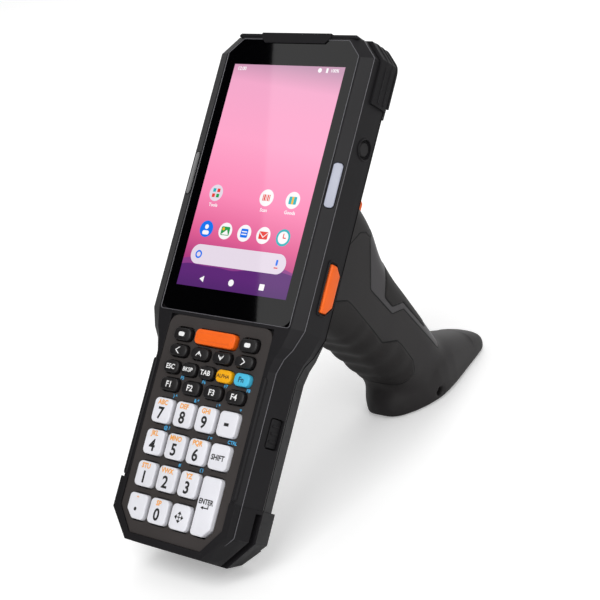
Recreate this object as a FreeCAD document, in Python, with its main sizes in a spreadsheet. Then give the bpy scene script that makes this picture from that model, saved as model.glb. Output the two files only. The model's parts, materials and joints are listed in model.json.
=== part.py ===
# A rugged barcode data terminal with a keypad, standing on the foot of its pistol grip.
# Every piece is drawn in the terminal's own frame: x to the right, y towards the top end, z out of the
# display, with the origin at the middle of the display's top edge on the glass. The stance at the end
# leans the whole terminal back on its sole and its tail and puts the origin under its middle.
import FreeCAD
import Part
import Sketcher
import os
import re

doc = FreeCAD.newDocument("data_terminal")
sheet = doc.addObject("Spreadsheet::Sheet", "sizes")

# Driving dimensions, in millimetres and degrees
caseSizes = {
    "faceHeadHalf": 33.8, "rimHeadHalf": 38.7, "sideHeadHalf": 39.0, "backHeadHalf": 30.0,
    "faceKeyHalf": 28.6, "rimKeyHalf": 30.4, "sideKeyHalf": 32.7, "splitKeyHalf": 30.4, "backKeyHalf": 25.2,
    "faceTop": 11.8, "rimTop": 12.3, "sideTop": 12.5, "backTop": 9.6,
    "faceTail": -194.6, "rimTail": -195.2, "sideTail": -195.5, "backTail": -193.6,
    "headCut": 7.3, "tailCut": 10.2, "tailShoulder": -184.8,
    "neckStart": -104.0, "neckMiddle": -111.5, "neckLow": -115.8, "neckEnd": -121.5,
    "rimDepth": 2.2, "sideDepth": 12.5, "splitDepth": 16.0, "caseDepth": 28.0,
    "wall": 2.2, "faceWall": 3.0, "rearFloor": 2.4, "seatGap": 0.1, "chamberCut": 11.0, "chamberTaper": 15.0,
    "neckWall": 5.0, "farOut": 60.0,
}
glassSizes = {
    "glassHalf": 33.0, "glassTop": 11.0, "glassBottom": -104.0, "glassThick": 1.5, "glassCut": 6.2,
    "glassRadius": 5.0, "glassGap": 0.1, "displayHalf": 30.0, "displayTop": 3.5, "displayBottom": -99.0,
    "displayThick": 4.1,
}
keypadSizes = {
    "panelHalf": 26.3, "panelTop": -105.5, "panelBottom": -192.8, "panelThick": 1.4, "panelDrop": 0.2,
    "panelRadius": 4.6, "panelCutX": 8.0, "panelCutY": 9.6, "keyWindow": 24.4, "keyProud": 1.66,
    "keyLip": 0.4, "lipGap": 0.3, "keyGap": 0.25, "keyRound": 2.1, "keyBevel": 0.45,
    "keyTravel": 1.0, "columnPitch": 11.24, "rowPitch": 12.74, "topNumberRow": -144.2,
    "numberWide": 9.8, "numberTall": 10.4, "smallWide": 9.5, "smallPitch": 11.27, "softTall": 5.5,
    "scanWide": 21.5, "scanTall": 6.5, "arrowTall": 5.0, "editWide": 8.0, "editTall": 5.2, "editPitch": 9.1,
    "functionTall": 5.5, "softRow": -113.0, "arrowRow": -119.8, "editRow": -126.6, "functionRow": -133.6,
    "cornerCut": 3.2, "cornerTurn": 0.29, "windowLedgeTop": 2.6, "windowLedgeLow": 3.0, "matThick": 0.9,
    "matGap": 0.3, "boardThick": 1.6, "boardHalf": 24.0,
    "boardTop": -18.0, "boardBottom": -186.0,
}
sideSizes = {
    "buttonFit": 0.3, "buttonBevel": 0.5, "buttonProud": 1.0, "buttonFlange": 0.8, "flangeThick": 0.9,
    "scanSideTop": -76.0, "scanSideBottom": -95.0, "scanSideFront": -7.7, "scanSideBack": -14.2,
    "scanSideCut": 3.2, "powerMiddle": -29.4, "powerDepth": -10.4, "powerRadius": 3.0, "powerRecess": 3.9,
    "powerSunk": 0.8, "lightTop": -38.0, "lightBottom": -56.0, "lightInner": 34.1, "lightOuter": 37.8,
    "lightDepth": 2.4, "lightRound": 1.6, "portTop": -137.6, "portBottom": -149.6, "portFront": -5.6,
    "portBack": -12.2, "portFloor": 26.0, "coverThick": 1.1, "coverInset": 0.4, "portRound": 1.2,
    "coverFace": 31.5, "socketWide": 9.2, "socketHigh": 3.4, "socketDeep": 7.6, "socketShell": 0.4,
    "tongueHigh": 0.7, "tongueInset": 1.2, "tongueShort": 0.8, "socketBack": 1.2,
}
rearSizes = {
    "cavityHalf": 21.0, "cavityTop": 6.0, "cavityBottom": -187.0, "doorHalf": 22.6, "doorTop": -105.6,
    "doorBottom": -186.4, "doorThick": 1.4, "doorLedge": 1.8, "doorGap": 0.2, "batteryHalf": 20.0,
    "batteryGap": 0.8, "batteryDeep": 11.0, "latchHalf": 5.6, "latchLong": 5.4, "latchTravel": 3.0,
    "latchThick": 1.1, "latchSunk": 0.9, "latchTop": -109.2, "ribHigh": 0.5, "ribWide": 0.8,
    "engineHalf": 10.0, "engineLong": 19.6, "engineTall": 11.0, "windowHalf": 12.0, "windowThick": 1.6,
    "windowFront": -17.4, "windowBack": -25.2, "windowLedge": 1.4, "windowSeat": 7.6, "screwHeadRadius": 2.3,
    "screwRadius": 1.25, "screwGap": 0.1, "screwSpare": 0.5, "screwSeat": -19.0, "screwLong": 11.0,
    "screwHeadThick": 1.8, "engineEyeSide": 2.0, "engineEyeLow": 2.4, "engineEyeHigh": 3.4,
    "engineEyeDeep": 2.6, "engineGap": 0.3, "latchFit": 0.3, "ribInset": 0.8, "ribPitch": 1.6,
    "cornerScrewX": 31.0, "cornerScrewY": 2.5, "neckScrewX": 32.6, "neckScrewY": -103.6, "tailScrewX": 15.0,
    "tailScrewY": -190.4,
}
bumperSizes = {
    "bumperProud": 1.1, "topBumperEnd": -12.0, "topBumperFront": -6.4, "topBumperBack": -26.4,
    "tongueHalf": 17.5, "tongueReach": 9.4, "tongueProud": 0.6, "tongueSlant": 2.4, "scanMouthHalf": 14.0,
    "scanMouthFront": -16.4, "tailBumperEnd": -172.5, "tailBumperBack": -30.0, "tailLip": 0.5,
    "tailPlateEnd": -187.4, "strapSlotFront": -9.4, "strapSlotBack": -12.4, "strapSlotEnd": -174.0,
    "strapSlotX": 28.6, "strapCornerY": -184.4, "strapExitX": 18.0, "strapExitY": -191.9,
    "strapReach": 8.0, "tailTrim": 0.6,
}
gripSizes = {
    "skin": 2.4, "turnWide": 11.0, "turnNear": 3.6, "turnShort": 4.2, "turnLong": 11.4,
    "depthTop": -28.0, "frontTop": -29.0, "rearTop": -93.0, "halfTop": 17.0,
    "depthGuard": -60.0, "frontGuard": -37.6, "rearGuard": -96.0, "halfGuard": 17.0,
    "depthNeck": -71.0, "frontNeck": -49.2, "rearNeck": -97.0, "halfNeck": 17.0,
    "depthWaist": -100.0, "frontWaist": -60.6, "rearWaist": -99.6, "halfWaist": 16.4,
    "depthAnkle": -124.0, "frontAnkle": -70.4, "rearAnkle": -103.0, "halfAnkle": 16.2,
    "depthFoot": -137.0, "frontFoot": -75.6, "rearFoot": -105.2, "halfFoot": 16.0,
    "wellHalf": 6.6, "wellBack": -51.2, "wellEnd": -64.6, "wellStart": -29.2, "triggerHalf": 6.0,
    "pivotY": -40.0, "pivotZ": -34.6, "pinRadius": 1.5, "pinHalf": 12.0, "pinGap": 0.05, "pinSeat": 0.02,
    "springOuter": 2.9, "springHalf": 1.6, "springSpace": 0.5, "springStart": 3.0, "triggerTip": -63.0,
    "lean": 39.0, "soleDrop": 170.4, "footLength": 98.4, "footHalf": 20.0, "footToe": 16.5,
    "heelHalf": 8.0, "cordHoleRadius": 2.2, "cordHoleAlong": 44.0, "cordHoleUp": 4.6,
}

row = 0
aliases = set()
for group in (caseSizes, glassSizes, keypadSizes, sideSizes, rearSizes, bumperSizes, gripSizes):
    for name, value in group.items():
        row = row + 1
        sheet.set("A%d" % row, name)
        sheet.set("B%d" % row, str(value))
        sheet.setAlias("B%d" % row, name)
        aliases.add(name)
doc.recompute()


# A formula in plain size names becomes an expression on the sheet
def bound(formula):
    return re.sub(r"[A-Za-z]\w*", lambda m: "sizes." + m.group() if m.group() in aliases else m.group(),
                  str(formula))


def amount(formula):
    return float(sheet.evalExpression(bound(formula)))


def newBody(name):
    body = doc.addObject("PartDesign::Body", name)
    body.Label = name
    return body


# A sketch on one of the body's own planes, moved along the plane's normal
def newSketch(body, name, plane="XY_Plane", offset="0"):
    sketch = body.newObject("Sketcher::SketchObject", name)
    support = [item for item in body.Origin.OriginFeatures if item.Role == plane][0]
    sketch.AttachmentSupport = [(support, "")]
    sketch.MapMode = "FlatFace"
    sketch.setExpression("AttachmentOffset.Base.z", bound(offset))
    return sketch


# Closed loops of straight sides: every corner is a pair of formulas, held by two dimensions
def drawLoops(sketch, loops):
    for corners in loops:
        first = sketch.GeometryCount
        points = [FreeCAD.Vector(amount(x), amount(y), 0) for x, y in corners]
        sides = [Part.LineSegment(points[i], points[(i + 1) % len(points)]) for i in range(len(points))]
        sketch.addGeometry(sides, False)
        joins = [Sketcher.Constraint("Coincident", first + i, 2, first + (i + 1) % len(points), 1)
                 for i in range(len(points))]
        sketch.addConstraint(joins)
        firstSize = sketch.ConstraintCount
        dimensions = []
        for i, point in enumerate(points):
            dimensions.append(Sketcher.Constraint("DistanceX", -1, 1, first + i, 1, point.x))
            dimensions.append(Sketcher.Constraint("DistanceY", -1, 1, first + i, 1, point.y))
        sketch.addConstraint(dimensions)
        for i, corner in enumerate(corners):
            sketch.setExpression("Constraints[%d]" % (firstSize + 2 * i), bound(corner[0]))
            sketch.setExpression("Constraints[%d]" % (firstSize + 2 * i + 1), bound(corner[1]))


def outline(body, name, corners, offset="0", plane="XY_Plane"):
    sketch = newSketch(body, name, plane, offset)
    drawLoops(sketch, [corners])
    return sketch


def circles(body, name, rounds, offset="0", plane="XY_Plane"):
    sketch = newSketch(body, name, plane, offset)
    for x, y, radius in rounds:
        centre = FreeCAD.Vector(amount(x), amount(y), 0)
        index = sketch.addGeometry(Part.Circle(centre, FreeCAD.Vector(0, 0, 1), amount(radius)), False)
        size = sketch.addConstraint(Sketcher.Constraint("Radius", index, amount(radius)))
        sketch.setExpression("Constraints[%d]" % size, bound(radius))
        for kind, place in (("DistanceX", x), ("DistanceY", y)):
            held = sketch.addConstraint(Sketcher.Constraint(kind, -1, 1, index, 3, amount(place)))
            sketch.setExpression("Constraints[%d]" % held, bound(place))
    return sketch


def pad(body, sketch, length, reverse=False):
    feature = body.newObject("PartDesign::Pad", sketch.Name + "Pad")
    feature.Profile = sketch
    feature.setExpression("Length", bound(length))
    feature.Reversed = reverse
    return feature


# A pocket that has to take material away: its volume is compared before and after
def pocket(body, sketch, length, reverse=False):
    doc.recompute()
    before = body.Shape.Volume
    feature = body.newObject("PartDesign::Pocket", sketch.Name + "Pocket")
    feature.Profile = sketch
    feature.setExpression("Length", bound(length))
    feature.Reversed = reverse
    doc.recompute()
    if not body.Shape.Volume < before - 1e-6:
        raise RuntimeError("pocket cuts nothing: " + sketch.Name)
    return feature


def loft(body, sketches, kind="AdditiveLoft"):
    feature = body.newObject("PartDesign::" + kind, sketches[0].Name + "Loft")
    feature.Profile = sketches[0]
    feature.Sections = sketches[1:]
    feature.Ruled = True
    return feature


# Names of the last feature's straight edges that run along one axis and pass a test on their middle
def edgesAlong(feature, axis, wanted=lambda middle: True):
    doc.recompute()
    names = []
    for number, edge in enumerate(feature.Shape.Edges, 1):
        start = edge.Vertexes[0].Point
        end = edge.Vertexes[-1].Point
        across = [abs(end[i] - start[i]) for i in range(3) if i != axis]
        if max(across) < 1e-6 and edge.Length > 1e-3 and wanted((start + end) * 0.5):
            names.append("Edge%d" % number)
    return names


def dress(body, kind, feature, edges, size, name):
    finish = body.newObject("PartDesign::" + kind, name)
    finish.Base = (feature, edges)
    finish.setExpression("Radius" if kind == "Fillet" else "Size", bound(size))
    doc.recompute()
    if "Invalid" in finish.State:
        raise RuntimeError("cannot be dressed: " + name)
    return finish


def boolean(kind, name, base, tool):
    feature = doc.addObject("Part::" + kind, name)
    feature.Base = base
    feature.Tool = tool
    feature.Label = name
    return feature


def cut(name, base, *tools):
    for number, tool in enumerate(tools, 1):
        last = number == len(tools)
        base = boolean("Cut", name if last else "%sCut%d" % (name, number), base, tool)
    return base


def box(name, low, high):
    block = doc.addObject("Part::Box", name)
    for i, size in enumerate(("Length", "Width", "Height")):
        block.setExpression(size, bound("(%s) - (%s)" % (high[i], low[i])))
        block.setExpression("Placement.Base." + "xyz"[i], bound(low[i]))
    block.Label = name
    return block


# A cylinder along x
def barX(name, start, y, z, radius, length):
    bar = doc.addObject("Part::Cylinder", name)
    bar.Placement.Rotation = FreeCAD.Rotation(FreeCAD.Vector(0, 1, 0), 90)
    bar.setExpression("Radius", bound(radius))
    bar.setExpression("Height", bound(length))
    for axis, place in zip("xyz", (start, y, z)):
        bar.setExpression("Placement.Base." + axis, bound(place))
    bar.Label = name
    return bar


nodes = []


# A plain block or bar is placed by formulas, so the stance is given to a compound around it
def keep(feature, name):
    if feature.TypeId in ("Part::Box", "Part::Cylinder"):
        feature.Label = name + " block"
        holder = doc.addObject("Part::Compound", name + "_piece")
        holder.Links = [feature]
        feature = holder
    feature.Label = name
    nodes.append(feature)


# Half of an outline is mirrored to the other side of the middle
def mirrored(half):
    return half + [("-(%s)" % x, y) for x, y in reversed(half)]


# Outline of the case at one depth: head, neck, keypad section and cut tail corners
def caseOutline(head, key, top, tail, grow="0"):
    headX = "%s + %s" % (head, grow)
    keyX = "%s + %s" % (key, grow)
    spread = "(%s - %s)" % (head, key)
    half = [
        ("%s - headCut" % headX, "%s + %s" % (top, grow)),
        (headX, "%s + %s - headCut" % (top, grow)),
        (headX, "neckStart"),
        ("%s + 0.62 * %s" % (keyX, spread), "neckMiddle"),
        ("%s + 0.24 * %s" % (keyX, spread), "neckLow"),
        (keyX, "neckEnd"),
        (keyX, "tailShoulder"),
        ("%s - tailCut" % keyX, "%s - %s" % (tail, grow)),
    ]
    return mirrored(half)


levels = {
    "Face": ("0", "faceHeadHalf", "faceKeyHalf", "faceTop", "faceTail"),
    "Rim": ("-rimDepth", "rimHeadHalf", "rimKeyHalf", "rimTop", "rimTail"),
    "Side": ("-sideDepth", "sideHeadHalf", "sideKeyHalf", "sideTop", "sideTail"),
    "Split": ("-splitDepth", "sideHeadHalf", "splitKeyHalf", "sideTop", "sideTail"),
    "Back": ("-caseDepth", "backHeadHalf", "backKeyHalf", "backTop", "backTail"),
}


def caseLoft(body, names, grow="0"):
    sections = []
    for name in names:
        depth, head, key, top, tail = levels[name]
        sections.append(outline(body, body.Name + name, caseOutline(head, key, top, tail, grow), depth))
    return loft(body, sections)


# Outline of the touch glass, and of its seat when grown
def glassOutline(grow="0"):
    return mirrored([
        ("glassHalf + %s - glassCut" % grow, "glassTop + %s" % grow),
        ("glassHalf + %s" % grow, "glassTop + %s - glassCut" % grow),
        ("glassHalf + %s" % grow, "glassBottom - %s" % grow),
    ])


def panelOutline(grow="0"):
    return mirrored([
        ("panelHalf + %s" % grow, "panelTop + %s" % grow),
        ("panelHalf + %s" % grow, "panelBottom + panelCutY"),
        ("panelHalf + %s - panelCutX" % grow, "panelBottom - %s" % grow),
    ])


def rectangle(left, bottom, right, top):
    return [(left, bottom), (right, bottom), (right, top), (left, top)]


# The keys: name, middle x, middle y, width, height and which lower corner is cut
def keyPlan():
    plan = []
    for name, place in (("key_soft_left", -1.5), ("key_soft_right", 1.5)):
        plan.append((name, "%s * smallPitch" % place, "softRow", "smallWide", "softTall", ""))
    plan.append(("key_scan", "0", "softRow", "scanWide", "scanTall", ""))
    for number, name in enumerate(("key_left", "key_up", "key_down", "key_right")):
        plan.append((name, "%s * smallPitch" % (number - 1.5), "arrowRow", "smallWide", "arrowTall", ""))
    for number, name in enumerate(("key_escape", "key_backspace", "key_tab", "key_letters", "key_function")):
        plan.append((name, "%d * editPitch" % (number - 2), "editRow", "editWide", "editTall", ""))
    for number in range(4):
        plan.append(("key_f%d" % (number + 1), "%s * smallPitch" % (number - 1.5), "functionRow", "smallWide",
                     "functionTall", ""))
    numberRows = (
        ("key_7", "key_8", "key_9", "key_minus"),
        ("key_4", "key_5", "key_6", "key_shift"),
        ("key_1", "key_2", "key_3", "key_enter"),
        ("key_point", "key_0", "key_navigate"),
    )
    for down, names in enumerate(numberRows):
        for across, name in enumerate(names):
            x = "%s * columnPitch" % (across - 1.5)
            y = "topNumberRow - %d * rowPitch" % down
            tall = "numberTall"
            if name == "key_enter":
                y = "topNumberRow - 2.5 * rowPitch"
                tall = "numberTall + rowPitch"
            corner = {"key_point": "left", "key_enter": "right"}.get(name, "")
            plan.append((name, x, y, "numberWide", tall, corner))
    return plan


# A rectangle whose corners are turned in two short sides; the corner named in bevelled is cut straight
def softRectangle(left, low, right, high, radius, bevelled=None):
    points = []
    corners = ((left, low, "+", "+"), (right, low, "-", "+"), (right, high, "-", "-"), (left, high, "+", "-"))
    for number, (x, y, inX, inY) in enumerate(corners):
        if number == bevelled:
            turn = [(x, "%s %s cornerCut" % (y, inY)), ("%s %s cornerCut" % (x, inX), y)]
        else:
            turn = [(x, "%s %s %s" % (y, inY, radius)),
                    ("%s %s cornerTurn * %s" % (x, inX, radius), "%s %s cornerTurn * %s" % (y, inY, radius)),
                    ("%s %s %s" % (x, inX, radius), y)]
        points += turn if number % 2 == 0 else turn[::-1]
    return points


# Outline of a key or of its hole, with one lower corner cut where the tail's corner is near
def keyOutline(x, y, wide, tall, corner, grow="0"):
    left = "%s - %s / 2 - %s" % (x, wide, grow)
    right = "%s + %s / 2 + %s" % (x, wide, grow)
    low = "%s - (%s) / 2 - %s" % (y, tall, grow)
    high = "%s + (%s) / 2 + %s" % (y, tall, grow)
    return softRectangle(left, low, right, high, "keyRound", {"left": 0, "right": 1}.get(corner))


# Front housing: the upper shell, with sloping rims, the glass seat, the key window and an open back
def frontHousing():
    body = newBody("frontShell")
    caseLoft(body, ("Split", "Side", "Rim", "Face"))
    inner = "sideHeadHalf - wall"
    chamber = mirrored([
        (inner + " - chamberCut", "faceTop - faceWall"),
        (inner, "faceTop - faceWall - chamberTaper"),
        (inner, "neckStart + neckWall"),
        ("boardHalf + 0.5", "neckStart + neckWall"),
        ("boardHalf + 0.5", "cavityBottom"),
    ])
    pocket(body, outline(body, "frontChamber", chamber, "-splitDepth"), "splitDepth - faceWall", True)
    pocket(body, outline(body, "glassSeat", glassOutline("glassGap")), "glassThick")
    opening = rectangle("-displayHalf - seatGap", "displayBottom - seatGap", "displayHalf + seatGap",
                        "displayTop + seatGap")
    pocket(body, outline(body, "displayOpening", opening, "-glassThick"), "displayThick + 2 * seatGap")
    pocket(body, outline(body, "panelSeat", panelOutline("seatGap")), "panelDrop + panelThick")
    window = mirrored([
        ("keyWindow", "panelTop - windowLedgeTop"),
        ("keyWindow", "panelBottom + panelCutY + 1"),
        ("keyWindow - panelCutX + windowLedgeLow", "panelBottom + windowLedgeLow"),
    ])
    pocket(body, outline(body, "keyOpening", window), "keyTravel + matGap - keyFoot")
    # The slots of the light windows in both rims
    slots = newSketch(body, "lightSlots")
    drawLoops(slots, [
        softRectangle(left, "lightBottom - seatGap", right, "lightTop + seatGap", "lightRound")
        for left, right in (("lightInner - seatGap", "lightOuter + seatGap"),
                            ("-lightOuter - seatGap", "-lightInner + seatGap"))
    ])
    pocket(body, slots, "lightDepth")
    # Openings for the side scan buttons, cut through both side walls
    sideWindow = sideButtonOutline("buttonFit")
    for side, start in (("Right", "sideHeadHalf + 2"), ("Left", "-sideHeadHalf + wall + 2")):
        pocket(body, outline(body, "scanWindow" + side, sideWindow, start, "YZ_Plane"), "wall + 4")
    # Recess and hole for the round power button, and the well of the port
    power = ("powerMiddle", "powerDepth")
    recess = circles(body, "powerRecessRound", [power + ("powerRecess",)], "sideHeadHalf + 1", "YZ_Plane")
    pocket(body, recess, "1 + powerSunk")
    hole = circles(body, "powerHole", [power + ("powerRadius + buttonFit",)], "sideHeadHalf", "YZ_Plane")
    pocket(body, hole, "wall + 1")
    well = outline(body, "portWell", rectangle("portBottom", "portBack", "portTop", "portFront"),
                   "sideKeyHalf + 2", "YZ_Plane")
    wellPocket = pocket(body, well, "sideKeyHalf + 2 - portFloor")
    inPort = edgesAlong(wellPocket, 0, lambda m: amount("portBottom") - 1 < m.y < amount("portTop") + 1)
    dress(body, "Fillet", wellPocket, inPort, "portRound", "portWellRound")
    socketHole = rectangle("socketMiddle - socketWide / 2 - seatGap", "socketLow - seatGap",
                           "socketMiddle + socketWide / 2 + seatGap", "socketLow + socketHigh + seatGap")
    pocket(body, outline(body, "socketHole", socketHole, "portFloor + seatGap", "YZ_Plane"), "socketDeep / 2")
    # Strap slots along both tail corners
    for side, mirror in (("Right", ""), ("Left", "-")):
        pocket(body, outline(body, "strapSlot" + side, strapOutline(mirror), "strapSlotFront"),
               "strapSlotFront - strapSlotBack")
    holes = [(side + x, y, "screwRadius + screwGap") for side in ("", "-")
             for x, y in (("cornerScrewX", "cornerScrewY"), ("neckScrewX", "neckScrewY"),
                          ("tailScrewX", "tailScrewY"))]
    screwHoles = circles(body, "frontScrewHoles", holes, "-splitDepth")
    pocket(body, screwHoles, "screwSeat + screwLong + screwSpare + splitDepth", True)
    keep(body, "front_housing")


def strapOutline(mirror):
    outside = "strapSlotX + strapReach"
    corners = [
        (outside, "strapSlotEnd"), ("strapSlotX", "strapSlotEnd"), ("strapSlotX", "strapCornerY"),
        ("strapExitX", "strapExitY"), ("strapExitX", "strapExitY - strapReach"),
        (outside, "strapExitY - strapReach"),
    ]
    return [("%s(%s)" % (mirror, x), y) for x, y in corners]


def sideButtonOutline(grow):
    return [
        ("scanSideBottom - %s" % grow, "scanSideFront + %s" % grow),
        ("scanSideBottom - %s" % grow, "scanSideBack - %s + scanSideCut" % grow),
        ("scanSideBottom - %s + scanSideCut" % grow, "scanSideBack - %s" % grow),
        ("scanSideTop + %s - scanSideCut" % grow, "scanSideBack - %s" % grow),
        ("scanSideTop + %s" % grow, "scanSideBack - %s + scanSideCut" % grow),
        ("scanSideTop + %s" % grow, "scanSideFront + %s" % grow),
    ]


# Rear housing: the lower shell, with the battery bay, the scan window's tunnel and the screw seats
def rearHousing():
    body = newBody("rearShell")
    caseLoft(body, ("Back", "Split"))
    chamber = rectangle("-cavityHalf", "cavityBottom", "cavityHalf", "cavityTop")
    pocket(body, outline(body, "rearChamber", chamber, "-splitDepth"), "caseDepth - splitDepth - rearFloor")
    seat = rectangle("-doorHalf - doorGap", "doorBottom - doorGap", "doorHalf + doorGap", "doorTop + doorGap")
    pocket(body, outline(body, "doorSeat", seat, "-caseDepth"), "doorThick", True)
    bay = rectangle("-doorHalf + doorLedge", "doorBottom + doorLedge", "doorHalf - doorLedge",
                    "doorTop - doorLedge")
    pocket(body, outline(body, "batteryBay", bay, "-caseDepth"), "rearFloor + 1", True)
    # The scan window's seat and tunnel are cut inwards from the top end
    frame = rectangle("-windowHalf - seatGap", "windowBack - seatGap", "windowHalf + seatGap",
                      "windowFront + seatGap")
    pocket(body, outline(body, "scanSeat", frame, "-sideTop - 2", "XZ_Plane"), "sideTop + 2 - windowSeat",
           True)
    tunnel = rectangle("-windowHalf + windowLedge", "windowBack + windowLedge", "windowHalf - windowLedge",
                       "windowFront - windowLedge")
    pocket(body, outline(body, "scanTunnel", tunnel, "-windowSeat - 0.5", "XZ_Plane"),
           "windowSeat + 1.5 - cavityTop", True)
    screws = [(side + x, y) for side in ("", "-")
              for x, y in (("cornerScrewX", "cornerScrewY"), ("neckScrewX", "neckScrewY"),
                           ("tailScrewX", "tailScrewY"))]
    heads = [place + ("screwHeadRadius + screwGap",) for place in screws]
    shanks = [place + ("screwRadius + screwGap",) for place in screws]
    pocket(body, circles(body, "screwSeats", heads, "-caseDepth"), "caseDepth + screwSeat", True)
    pocket(body, circles(body, "screwHoles", shanks, "-caseDepth"), "caseDepth - splitDepth + 1", True)
    keep(body, "rear_housing")


# Touch glass with cut top corners, and the display module against its back
def glassAndDisplay():
    body = newBody("glass")
    plate = pad(body, outline(body, "glassPlate", glassOutline(), "-glassThick"), "glassThick")
    lower = edgesAlong(plate, 2, lambda m: m.y < amount("glassBottom") + 1)
    dress(body, "Fillet", plate, lower, "glassRadius", "glassRound")
    keep(body, "touch_glass")
    display = box("display_module", ("-displayHalf", "displayBottom", "-glassThick - displayThick"),
                  ("displayHalf", "displayTop", "-glassThick"))
    keep(display, "display_module")


# Keypad panel: one plate with a hole for every key
def keypadPanel():
    body = newBody("panelPlate")
    plate = pad(body, outline(body, "panelEdge", panelOutline(), "-panelDrop - panelThick"), "panelThick")
    upper = edgesAlong(plate, 2, lambda m: m.y > amount("panelTop") - 1)
    dress(body, "Fillet", plate, upper, "panelRadius", "panelRound")
    rows = {}
    for name, x, y, wide, tall, corner in keyPlan():
        rows.setdefault(y, []).append(keyOutline(x, y, wide, tall, corner, "keyGap"))
    for number, loops in enumerate(rows.values()):
        sketch = newSketch(body, "panelHoles%d" % number)
        drawLoops(sketch, loops)
        pocket(body, sketch, "panelDrop + panelThick + 1")
    keep(body, "keypad_panel")


# One key: a cap with round corners and a bevelled top, and two lips that stay under the panel
def key(name, x, y, wide, tall, corner):
    body = newBody(name.replace("key_", "cap_"))
    cap = pad(body, outline(body, name + "Outline", keyOutline(x, y, wide, tall, corner), "keyFoot"),
              "keyProud - keyFoot")
    doc.recompute()
    top = [number for number, face in enumerate(cap.Shape.Faces, 1)
           if face.CenterOfMass.z > amount("keyProud") - 1e-4]
    dress(body, "Chamfer", cap, ["Face%d" % top[0]], "keyBevel", name + "Bevel")
    lip = rectangle("%s - %s / 2 - keyLip" % (x, wide), "%s - (%s) / 2 + keyRound" % (y, tall),
                    "%s + %s / 2 + keyLip" % (x, wide), "%s + (%s) / 2 - keyRound" % (y, tall))
    if corner:
        lip[0] = (lip[0][0], lip[0][1] + " + cornerCut")
        lip[1] = (lip[1][0], lip[1][1] + " + cornerCut")
    pad(body, outline(body, name + "Lips", lip, "keyFoot"), "-keyFoot - panelDrop - panelThick - lipGap")
    keep(body, name)


# Keypad mat and main board, stacked under the keys and under the display
def matAndBoard():
    board = box("main_board", ("-boardHalf", "boardBottom", "boardFace - boardThick"),
                ("boardHalf", "boardTop", "boardFace"))
    keep(board, "main_board")
    mat = box("keypad_mat", ("-boardHalf", "boardBottom", "boardFace"),
              ("boardHalf", "softRow + scanTall", "boardFace + matThick"))
    keep(mat, "keypad_mat")


# Light windows in the right and left rims, flush with the slope
def lightWindow(form):
    body = newBody("lightBar")
    edge = softRectangle("lightInner", "lightBottom", "lightOuter", "lightTop", "lightRound")
    pad(body, outline(body, "lightEdge", edge, "-lightDepth"), "lightDepth + 1")
    right = boolean("Common", "lightRight", body, form)
    left = doc.addObject("Part::Mirroring", "lightLeft")
    left.Source = right
    left.Normal = (1, 0, 0)
    pair = doc.addObject("Part::Compound", "lightPair")
    pair.Links = [right, left]
    keep(pair, "status_light_window")


# Scan button of one side: a cap through the wall and a flange behind it
def sideButton(name, label, left):
    body = newBody(name)
    start = "sideHeadHalf - wall - buttonFit - flangeThick"
    reach = "flangeThick + buttonFit + wall + buttonProud"
    offset = start
    if left:
        offset = "-(%s) - (%s)" % (start, reach)
    cap = pad(body, outline(body, name + "Cap", sideButtonOutline("0"), offset, "YZ_Plane"), reach)
    doc.recompute()
    outer = [number for number, face in enumerate(cap.Shape.Faces, 1)
             if abs(face.CenterOfMass.x) > amount("sideHeadHalf + buttonProud") - 1e-4]
    dress(body, "Chamfer", cap, ["Face%d" % outer[0]], "buttonBevel", name + "Bevel")
    flangeStart = "-(%s) - flangeThick" % start if left else start
    pad(body, outline(body, name + "Flange", sideButtonOutline("buttonFlange"), flangeStart, "YZ_Plane"),
        "flangeThick")
    keep(body, label)


def powerButton():
    body = newBody("powerCap")
    start = "sideHeadHalf - wall - buttonFit - flangeThick"
    place = ("powerMiddle", "powerDepth")
    cap = pad(body, circles(body, "powerDisc", [place + ("powerRadius",)], start, "YZ_Plane"),
              "flangeThick + buttonFit + wall - 0.2")
    doc.recompute()
    outer = [number for number, face in enumerate(cap.Shape.Faces, 1)
             if abs(face.CenterOfMass.x) > amount("sideHeadHalf - 0.2") - 1e-4]
    dress(body, "Chamfer", cap, ["Face%d" % outer[0]], "buttonBevel", "powerBevel")
    pad(body, circles(body, "powerFlange", [place + ("powerRadius + buttonFlange",)], start, "YZ_Plane"),
        "flangeThick")
    keep(body, "power_button")


# Rubber port cover, flush in the mouth of the well, with a round knuckle at its lower end to turn on
def portCover():
    body = newBody("portFlap")
    knuckleY = "portBottom + coverInset + coverThick / 2"
    edge = rectangle(knuckleY, "portBack + coverInset", "portTop - coverInset", "portFront - coverInset")
    plate = pad(body, outline(body, "flapEdge", edge, "coverFace - coverThick", "YZ_Plane"), "coverThick")
    far = edgesAlong(plate, 0, lambda m: m.y > amount("portTop - coverInset") - 1)
    dress(body, "Fillet", plate, far, "portRound - coverInset", "flapRound")
    round = circles(body, "knuckle", [("coverFace - coverThick / 2", knuckleY, "coverThick / 2")],
                    "portBack + coverInset")
    pad(body, round, "portFront - portBack - 2 * coverInset")
    keep(body, "port_cover")


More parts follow.
